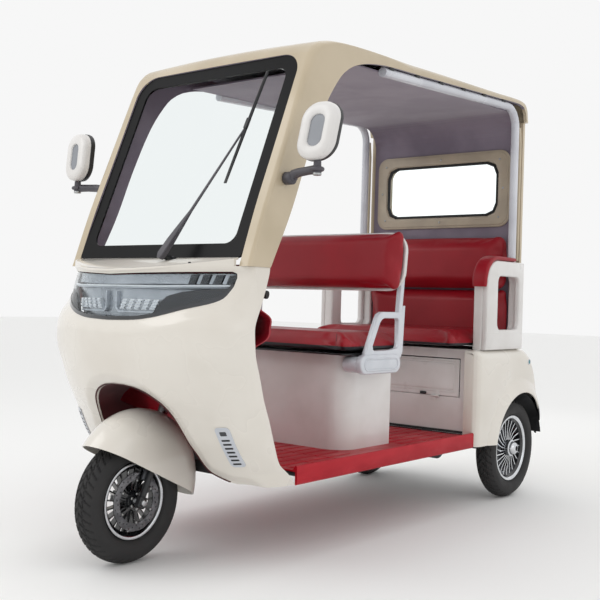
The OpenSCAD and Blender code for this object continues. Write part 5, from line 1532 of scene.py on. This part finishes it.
def build_wiper():
    black = FINISH["black"]
    lean = math.radians(-15)
    pivot_u, pivot_v, lift, length = 124, -22, 64, 585

    def place(u, v, w):
        return glass_point(pivot_u + u * math.cos(lean) - v * math.sin(lean),
                           pivot_v + u * math.sin(lean) + v * math.cos(lean), w)
    dip = lift + 5 - 8
    parts = []
    rings = []
    for v, half, w0, w1 in ((-18, 10, 0, 16), (0, 16, 0, 20), (60, 14, 0, 19), (110, 11, 1, 16), (190, 6, 3, 10),
                            (length - 20, 4, 3, 8), (length + 6, 5, 3, 8)):
        low = lift + 3 - dip * v / length
        rings.append([place(-half, v, low + w0), place(half, v, low + w0), place(half, v, low + w1 - 2),
                      place(half - 2.5, v, low + w1), place(-half + 2.5, v, low + w1), place(-half, v, low + w1 - 2)])
    parts.append(crease(loft("arm", rings, [FINISH["arm"]]), 30))
    cap = [place(15 * math.cos(a), 15 * math.sin(a), lift + 1) for a in (2 * math.pi * k / 32 for k in range(32))]
    top = [place(13 * math.cos(a), 13 * math.sin(a), lift + 19) for a in (2 * math.pi * k / 32 for k in range(32))]
    parts.append(crease(loft("cap", [cap, top], [black]), 40))
    turn = math.radians(-4.5) - lean

    def blade(u, v, w):
        return place(u * math.cos(turn) - v * math.sin(turn), length - 4 + u * math.sin(turn) + v * math.cos(turn), w)
    rings = []
    for k in range(25):
        v = -248 + 474 * k / 24
        h = 5 + 5 * (1 - ((v - 0) / 260) ** 2)
        rings.append([blade(-7, v, 10), blade(7, v, 10), blade(6, v, 10 + h * 0.5), blade(0, v, 9 + h),
                      blade(-6, v, 10 + h * 0.5)])
    parts.append(crease(loft("blade", rings, [black]), 30))
    rings = [[blade(-2, v, 8.2), blade(2, v, 8.2), blade(2.5, v, 12), blade(-2.5, v, 12)] for v in (-246, 224)]
    parts.append(crease(loft("lip", rings, [FINISH["rubber"]]), 30))
    clip = [[blade(s * 8, v, h) for s, h in ((-1, 9), (1, 9), (1, 20), (-1, 20))] for v in (-22, 22)]
    parts.append(bevel(loft("clip", clip, [black]), 2, 2))
    finish_piece(join("wiper_assembly", parts), "wiper_arm", ["wiper"])
    # The washer jet on the scuttle
    jet = [button("jet", glass_cowl(300), 5, -2, 4, 1.2, [black], "z", 20)]
    finish_piece(join("washer_jet", jet), "cab")


def glass_cowl(y):
    """A point on the scuttle between the lamp and the glass."""
    x = 20.0
    return (x, y, 1113 - (x + 94) * (1113 - 1063) / 222)


def build_brackets():
    silver = FINISH["silver"]
    parts = []
    lean = Matrix.Translation(at(-1086, 0, 1028)) @ Matrix.Rotation(math.radians(-6), 4, "Y") @ Matrix.Translation(
        -at(-1086, 0, 1028))

    def oval(w, h):
        return rounded(w, h, h / 2 - 0.5, steps=14)
    outer = [(-862, 714), (-868, 728), (-880, 745), (-920, 822), (-960, 900), (-975, 922), (-1000, 932), (-1140, 932),
             (-1152, 938), (-1160, 960), (-1176, 960), (-1170, 860), (-1164, 760), (-1150, 738), (-1126, 724),
             (-1108, 700), (-1090, 684), (-890, 684), (-872, 698)]
    hole = [(-935, 790), (-960, 838), (-985, 885), (-1000, 899), (-1020, 905), (-1118, 905), (-1128, 895),
            (-1128, 790), (-1118, 777), (-1060, 770), (-950, 770), (-938, 776)]
    parts.append(plate("loop", [outer, hole], 26, 6, on_side(0, 408), [silver]))
    parts.append(plate("cover", [oval(298, 82)], 34, 9, on_side(-990, 412, 714), [silver]))
    parts.append(plate("bead", [oval(252, 54), oval(240, 42)], 8, 2.5, on_side(-990, 428.5, 714), [silver]))
    parts.append(plate("inset", [oval(232, 36)], 6, 2, on_side(-990, 427, 714), [silver]))
    parts.append(plate("stub", [oval(282, 66)], 66, 3, on_side(-985, 363.5, 712), [silver]))
    post = plate("post", [rounded(26, 320, 5, 0, 40)], 24, 5, lean @ on_side(-1086 - 64, 408, 1028), [silver])
    parts.append(post)
    finish_piece(mirrored(join("seat_bracket_castings", parts)), "cab", ["seat_brackets"])


def build_armrests():
    white = FINISH["white"]
    front, back, top, bend, base = FLOOR_REAR - 64, WALL_X + 8, 1192, 110, 757.3
    outline = [(back, base), (front + 6, base), (front + 2, base + 14), (front, base + 30)]
    outline += arc(front - bend, top - bend, bend, 0, 90, 16) + [(back, top)]
    hole = rounded(front - back - 156, top - base - 172.7, 34, (back + 46 + front - 110) / 2,
                   (757 + 98 + top - 75) / 2)
    wider = rounded(front - back - 112, top - base - 130, 50, (back + 46 + front - 110) / 2, (757 + 98 + top - 75) / 2)
    parts = [plate("arm", [outline, hole], 30, 9, on_side(0, 485), [white]),
             plate("arm", [outline, wider], 50, 9, on_side(0, 449), [white])]
    parts.append(plate("panel", [[(back + 14, base + 12), (front - 14, base + 12), (front - 14, 838), (back + 14, 838)]],
                       4, 1.6, on_side(0, 499.5), [white]))
    frame_skin = mirrored(join("armrest_frames", parts))
    finish_piece(frame_skin, "cab", ["armrests"])
    pad = []
    end = WALL_X + 172 - 95 * math.sin(0.053) - 95 + 26
    spine = [(end, top + 12)] + [(front - bend + (bend + 12) * math.cos(math.radians(a)),
                                  top - bend + (bend + 12) * math.sin(math.radians(a))) for a in range(90, -1, -9)]
    spine += [(front + 12, top - bend - 20)]
    rings = []
    for i, (x, z) in enumerate(spine):
        ahead = Vector((spine[min(i + 1, len(spine) - 1)][0] - spine[max(i - 1, 0)][0], 0,
                        spine[min(i + 1, len(spine) - 1)][1] - spine[max(i - 1, 0)][1])).normalized()
        away = Vector((-ahead.z, 0, ahead.x))
        shrink = 0.78 if i in (0, len(spine) - 1) else 1.0
        ring = []
        for k in range(24):
            a = 2 * math.pi * k / 24
            cu = math.copysign(abs(math.cos(a)) ** 0.55, math.cos(a)) * 38 * (0.93 if shrink < 1 else 1)
            cv = math.copysign(abs(math.sin(a)) ** 0.6, math.sin(a)) * 12.4 * shrink
            ring.append((x + away.x * cv, 462 + cu, z + away.z * cv))
        rings.append(ring)
    pad = crease(loft("armrest_pads_sewn", rings, [FINISH["leather"]]), 60)
    mirrored(pad)
    finish_piece(pad, "cab", ["armrest_pads"])


def build_tail():
    """Rear lamps with ribbed lenses and amber turn lenses, and a blank plate recess."""
    parts = []
    p3, p4 = Vector((REAR_X - 195, 0, 600)), Vector((REAR_X - 237, 0, 480))
    d = p4 - p3
    n = Vector((d.z, 0, -d.x)).normalized()

    def place(u, v, w):
        p = p3 + d * v + n * w
        return (p.x, u, p.z)
    body = prism("lamp", [(200, 0.15), (310, 0.15), (310, 0.75), (200, 0.75)], place, (0.3, 12), [FINISH["lamp_red"]])
    parts.append(bevel(body, 4, 3))
    parts.append(bevel(prism("turn", [(276, 0.2), (304, 0.2), (304, 0.7), (276, 0.7)], place, (8, 13.4),
                             [FINISH["amber"]]), 1.5, 2))
    for k in range(6):
        v = 0.22 + 0.08 * k
        parts.append(bevel(prism("rib", [(206, v), (270, v), (270, v + 0.02), (206, v + 0.02)], place, (10, 13.6),
                                 [FINISH["lamp_red"]]), 0.6, 2))
    finish_piece(mirrored(join("tail_lamp_lenses", parts)), "cab", ["tail_lamps"])
    recess = plate("blank_plate_frame", [rounded(300, 110, 10), rounded(280, 90, 6)], 6, 2,
                   Matrix.Translation(at(*place(0, 0.5, 3))) @ Matrix.Rotation(math.atan2(d.x, -d.z) * -1, 4, "Y")
                   @ on_face(-AXLE_X, 0, 0), [FINISH["black"]])
    finish_piece(recess, "cab")


def build_front_details():
    """Reflector on the front fender's tail and the rubber flap behind the arch."""
    black = FINISH["black"]
    flap = prism("arch_flap", [(-190, 300), (190, 300), (196, 344), (-196, 344)], lambda u, v, w: (w, u, v), (-306, -300),
                 [FINISH["rubber"]])
    finish_piece(bevel(flap, 2, 2), "cab")
    ends = [button("reflector", (-268, 0, 262), 16, -2, 6, 2, [FINISH["diffuser"]], "x", 32)]
    finish_piece(join("fender_reflector", ends), "steering")
    under = []
    for x in (-620, -1160, -1560):
        under.append(tube("cross_tube", [(x, -300, 284), (x, 300, 284)], 12, [FINISH["frame"]], 20))
    under.append(tube("cable_tray", [(-520, 150, 276), (-1500, 150, 276)], 14, [black], 16))
    finish_piece(join("underframe_tubes", under), "cab")


# ---------------------------------------------------------------- stage

CAMERA_AT = Vector((3.452, 2.642, 0.969))
CAMERA_YAW = math.radians(38.63)
CAMERA_PITCH = math.radians(0.04)
CAMERA_ROLL = math.radians(1.66)
CAMERA_LENS = 57.25


def floor_material():
    material = bpy.data.materials.new("painted_studio_floor")
    surface_nodes = material.node_tree if material.use_nodes else None
    material.use_nodes = True
    surface_nodes = material.node_tree
    shader = surface_nodes.nodes["Principled BSDF"]
    shader.inputs["Base Color"].default_value = linear("#f4f4f3")
    shader.inputs["Roughness"].default_value = 0.85
    shader.inputs["Specular IOR Level"].default_value = 0.15
    return material


def area_light(name, place, target, size, power):
    data = bpy.data.lights.new(name, "AREA")
    data.shape = "RECTANGLE"
    data.size, data.size_y = size
    data.energy = power
    light = bpy.data.objects.new(name, data)
    light.location = place
    light.rotation_euler = (Vector(target) - Vector(place)).to_track_quat("-Z", "Y").to_euler()
    bpy.context.scene.collection.objects.link(light)


def build_stage(stage):
    scene = bpy.context.scene
    size = stage.floor_size
    mesh = bpy.data.meshes.new("studio_floor")
    mesh.from_pydata([(-size, -size, -0.001), (size, -size, -0.001), (size, size, -0.001), (-size, size, -0.001)], [],
                     [(0, 1, 2, 3)])
    mesh.materials.append(floor_material())
    floor = bpy.data.objects.new("studio_floor", mesh)
    scene.collection.objects.link(floor)
    world = bpy.data.worlds.new("white_room")
    scene.world = world
    world.use_nodes = True
    world.node_tree.nodes["Background"].inputs["Color"].default_value = linear("#ffffff")
    world.node_tree.nodes["Background"].inputs["Strength"].default_value = stage.room_light
    area_light("key_soft_box", (3.4, -1.6, 3.6), (0, 0, 0.8), (3.0, 2.2), stage.key_light)
    area_light("fill_soft_box", (1.0, 4.6, 2.6), (-0.3, 0, 0.9), (3.6, 2.4), stage.fill_light)
    area_light("top_soft_box", (-1.2, 0.0, 4.4), (-0.3, 0, 0.8), (3.0, 3.0), stage.fill_light * 0.8)
    area_light("rear_soft_box", (-4.6, -1.5, 2.4), (0, 0, 0.8), (2.6, 2.0), stage.fill_light * 0.6)
    scene.view_settings.view_transform = "Standard"
    cam = bpy.data.cameras.new("photo_camera")
    cam.sensor_width = 36.0
    cam.lens = CAMERA_LENS
    cam.clip_end = 60
    holder = bpy.data.objects.new("photo_camera", cam)
    scene.collection.objects.link(holder)
    ahead = Vector((-math.cos(CAMERA_YAW) * math.cos(CAMERA_PITCH), -math.sin(CAMERA_YAW) * math.cos(CAMERA_PITCH),
                    math.sin(CAMERA_PITCH)))
    right = Vector((-math.sin(CAMERA_YAW), math.cos(CAMERA_YAW), 0))
    up = right.cross(ahead)
    c, s = math.cos(CAMERA_ROLL), math.sin(CAMERA_ROLL)
    side, top = right * c + up * s, up * c - right * s
    turn = Matrix((side, top, -ahead)).transposed().to_4x4()
    holder.matrix_world = Matrix.Translation(CAMERA_AT) @ turn
    scene.camera = holder


# ---------------------------------------------------------------- add-on

class TrikeLook(bpy.types.PropertyGroup):
    cream: bpy.props.StringProperty(
        name="Body paint", description="sRGB hex colour of the pearl lacquer on cowl and fenders", default="#dfdad1")
    tan: bpy.props.StringProperty(
        name="Roof shell", description="sRGB hex colour of the moulded roof and pillars", default="#c0b197")
    red_floor: bpy.props.StringProperty(
        name="Floor", description="sRGB hex colour of the glossy ribbed floor", default="#b3061e")
    red_seat: bpy.props.StringProperty(
        name="Leatherette", description="sRGB hex colour of the seats and arm pads", default="#98101f")
    front_blades: bpy.props.IntProperty(
        name="Front blades", description="Number of blades in the front wheel", default=20, min=5, max=30)
    rear_blades: bpy.props.IntProperty(
        name="Rear blades", description="Number of curved spokes in a rear wheel", default=24, min=5, max=36)
    tread_blocks: bpy.props.IntProperty(
        name="Tread blocks", description="Number of slanted grooves round a tyre", default=42, min=12, max=70)
    seam: bpy.props.FloatProperty(
        name="Seam thread", description="Radius of the seam cord on the seats, in metres", default=0.0022,
        unit="LENGTH", subtype="DISTANCE")


class TrikeStage(bpy.types.PropertyGroup):
    floor_size: bpy.props.FloatProperty(
        name="Floor half size", description="Half the side of the studio floor", default=30.0, unit="LENGTH",
        subtype="DISTANCE")
    room_light: bpy.props.FloatProperty(
        name="Room light", description="Strength of the white surroundings", default=0.93, min=0.0)
    key_light: bpy.props.FloatProperty(
        name="Key light", description="Power of the soft box before the cab in watts", default=34.0, subtype="POWER")
    fill_light: bpy.props.FloatProperty(
        name="Fill light", description="Power of the soft box beside the cab in watts", default=11.0,
        subtype="POWER")


class TrikeStep:
    """What every step of the dresser shares."""
    bl_options = {"REGISTER", "UNDO"}


class OBJECT_OT_trike_finishes(TrikeStep, bpy.types.Operator):
    """Mixes the paints, plastics, metals and leathers, and gives them to the CAD pieces that stay"""
    bl_idname = "object.trike_finishes"
    bl_label = "Mix finishes"

    def execute(self, context):
        FINISH.clear()
        FINISH.update(make_materials(context.scene.trike_look))
        dress_plain_nodes()
        return {"FINISHED"}


class OBJECT_OT_trike_cowl(TrikeStep, bpy.types.Operator):
    """Sculpts the front cowl with its arch lip, lamp recess and wiper boss"""
    bl_idname = "object.trike_cowl"
    bl_label = "Front cowl"

    def execute(self, context):
        build_cowl()
        build_vents()
        return {"FINISHED"}


class OBJECT_OT_trike_headlamp(TrikeStep, bpy.types.Operator):
    """Makes the wide lamp: bowl, light bars, diodes and clear cover"""
    bl_idname = "object.trike_headlamp"
    bl_label = "Headlamp"

    def execute(self, context):
        build_headlamp()
        return {"FINISHED"}


class OBJECT_OT_trike_roof(TrikeStep, bpy.types.Operator):
    """Lofts the roof shell with its pillars and trims the lining"""
    bl_idname = "object.trike_roof"
    bl_label = "Roof and lining"

    def execute(self, context):
        build_roof()
        build_lining_trim()
        return {"FINISHED"}


class OBJECT_OT_trike_body(TrikeStep, bpy.types.Operator):
    """Makes the rear fenders, the floor and the box under the rear seat"""
    bl_idname = "object.trike_body"
    bl_label = "Fenders, floor and box"

    def execute(self, context):
        build_fenders()
        build_floor()
        build_boxes()
        return {"FINISHED"}


class OBJECT_OT_trike_seats(TrikeStep, bpy.types.Operator):
    """Fills, sews and seams the cushions and backrests"""
    bl_idname = "object.trike_seats"
    bl_label = "Seats"

    def execute(self, context):
        build_seats()
        build_armrests()
        build_brackets()
        return {"FINISHED"}


class OBJECT_OT_trike_wheels(TrikeStep, bpy.types.Operator):
    """Makes the bladed wheels, treaded tyres and the drilled brake disc"""
    bl_idname = "object.trike_wheels"
    bl_label = "Wheels"

    def execute(self, context):
        build_front_wheel()
        build_rear_wheels()
        return {"FINISHED"}


class OBJECT_OT_trike_steering(TrikeStep, bpy.types.Operator):
    """Makes the fork with its brake caliper, and the handlebar"""
    bl_idname = "object.trike_steering"
    bl_label = "Fork and handlebar"

    def execute(self, context):
        build_fork()
        build_handlebar()
        return {"FINISHED"}


class OBJECT_OT_trike_fittings(TrikeStep, bpy.types.Operator):
    """Adds mirrors, wiper, tail lamps and small details"""
    bl_idname = "object.trike_fittings"
    bl_label = "Mirrors, wiper and lamps"

    def execute(self, context):
        build_mirrors()
        build_wiper()
        build_tail()
        build_front_details()
        return {"FINISHED"}


class OBJECT_OT_trike_stage(TrikeStep, bpy.types.Operator):
    """Lays the floor and sets the soft lights and the camera"""
    bl_idname = "object.trike_stage"
    bl_label = "Studio"

    def execute(self, context):
        build_stage(context.scene.trike_stage)
        return {"FINISHED"}


STEPS = (OBJECT_OT_trike_finishes, OBJECT_OT_trike_stage, OBJECT_OT_trike_cowl, OBJECT_OT_trike_headlamp,
         OBJECT_OT_trike_roof, OBJECT_OT_trike_body, OBJECT_OT_trike_wheels, OBJECT_OT_trike_steering,
         OBJECT_OT_trike_fittings, OBJECT_OT_trike_seats)


class VIEW3D_PT_trike(bpy.types.Panel):
    """Colours, sizes and steps of the tricycle"""
    bl_label = "Electric tricycle"
    bl_idname = "VIEW3D_PT_trike"
    bl_space_type = "VIEW_3D"
    bl_region_type = "UI"
    bl_category = "Tricycle"

    def draw(self, context):
        for group in (context.scene.trike_look, context.scene.trike_stage):
            for name in group.__annotations__:
                self.layout.prop(group, name)
        for step in STEPS:
            self.layout.operator(step.bl_idname)


CLASSES = (TrikeLook, TrikeStage) + STEPS + (VIEW3D_PT_trike,)


def register():
    for item in CLASSES:
        bpy.utils.register_class(item)
    bpy.types.Scene.trike_look = bpy.props.PointerProperty(type=TrikeLook)
    bpy.types.Scene.trike_stage = bpy.props.PointerProperty(type=TrikeStage)


def unregister():
    del bpy.types.Scene.trike_look
    del bpy.types.Scene.trike_stage
    for item in reversed(CLASSES):
        bpy.utils.unregister_class(item)


def main():
    register()
    for step in STEPS:
        group, name = step.bl_idname.split(".")
        getattr(getattr(bpy.ops, group), name)()


if __name__ == "__main__":
    main()
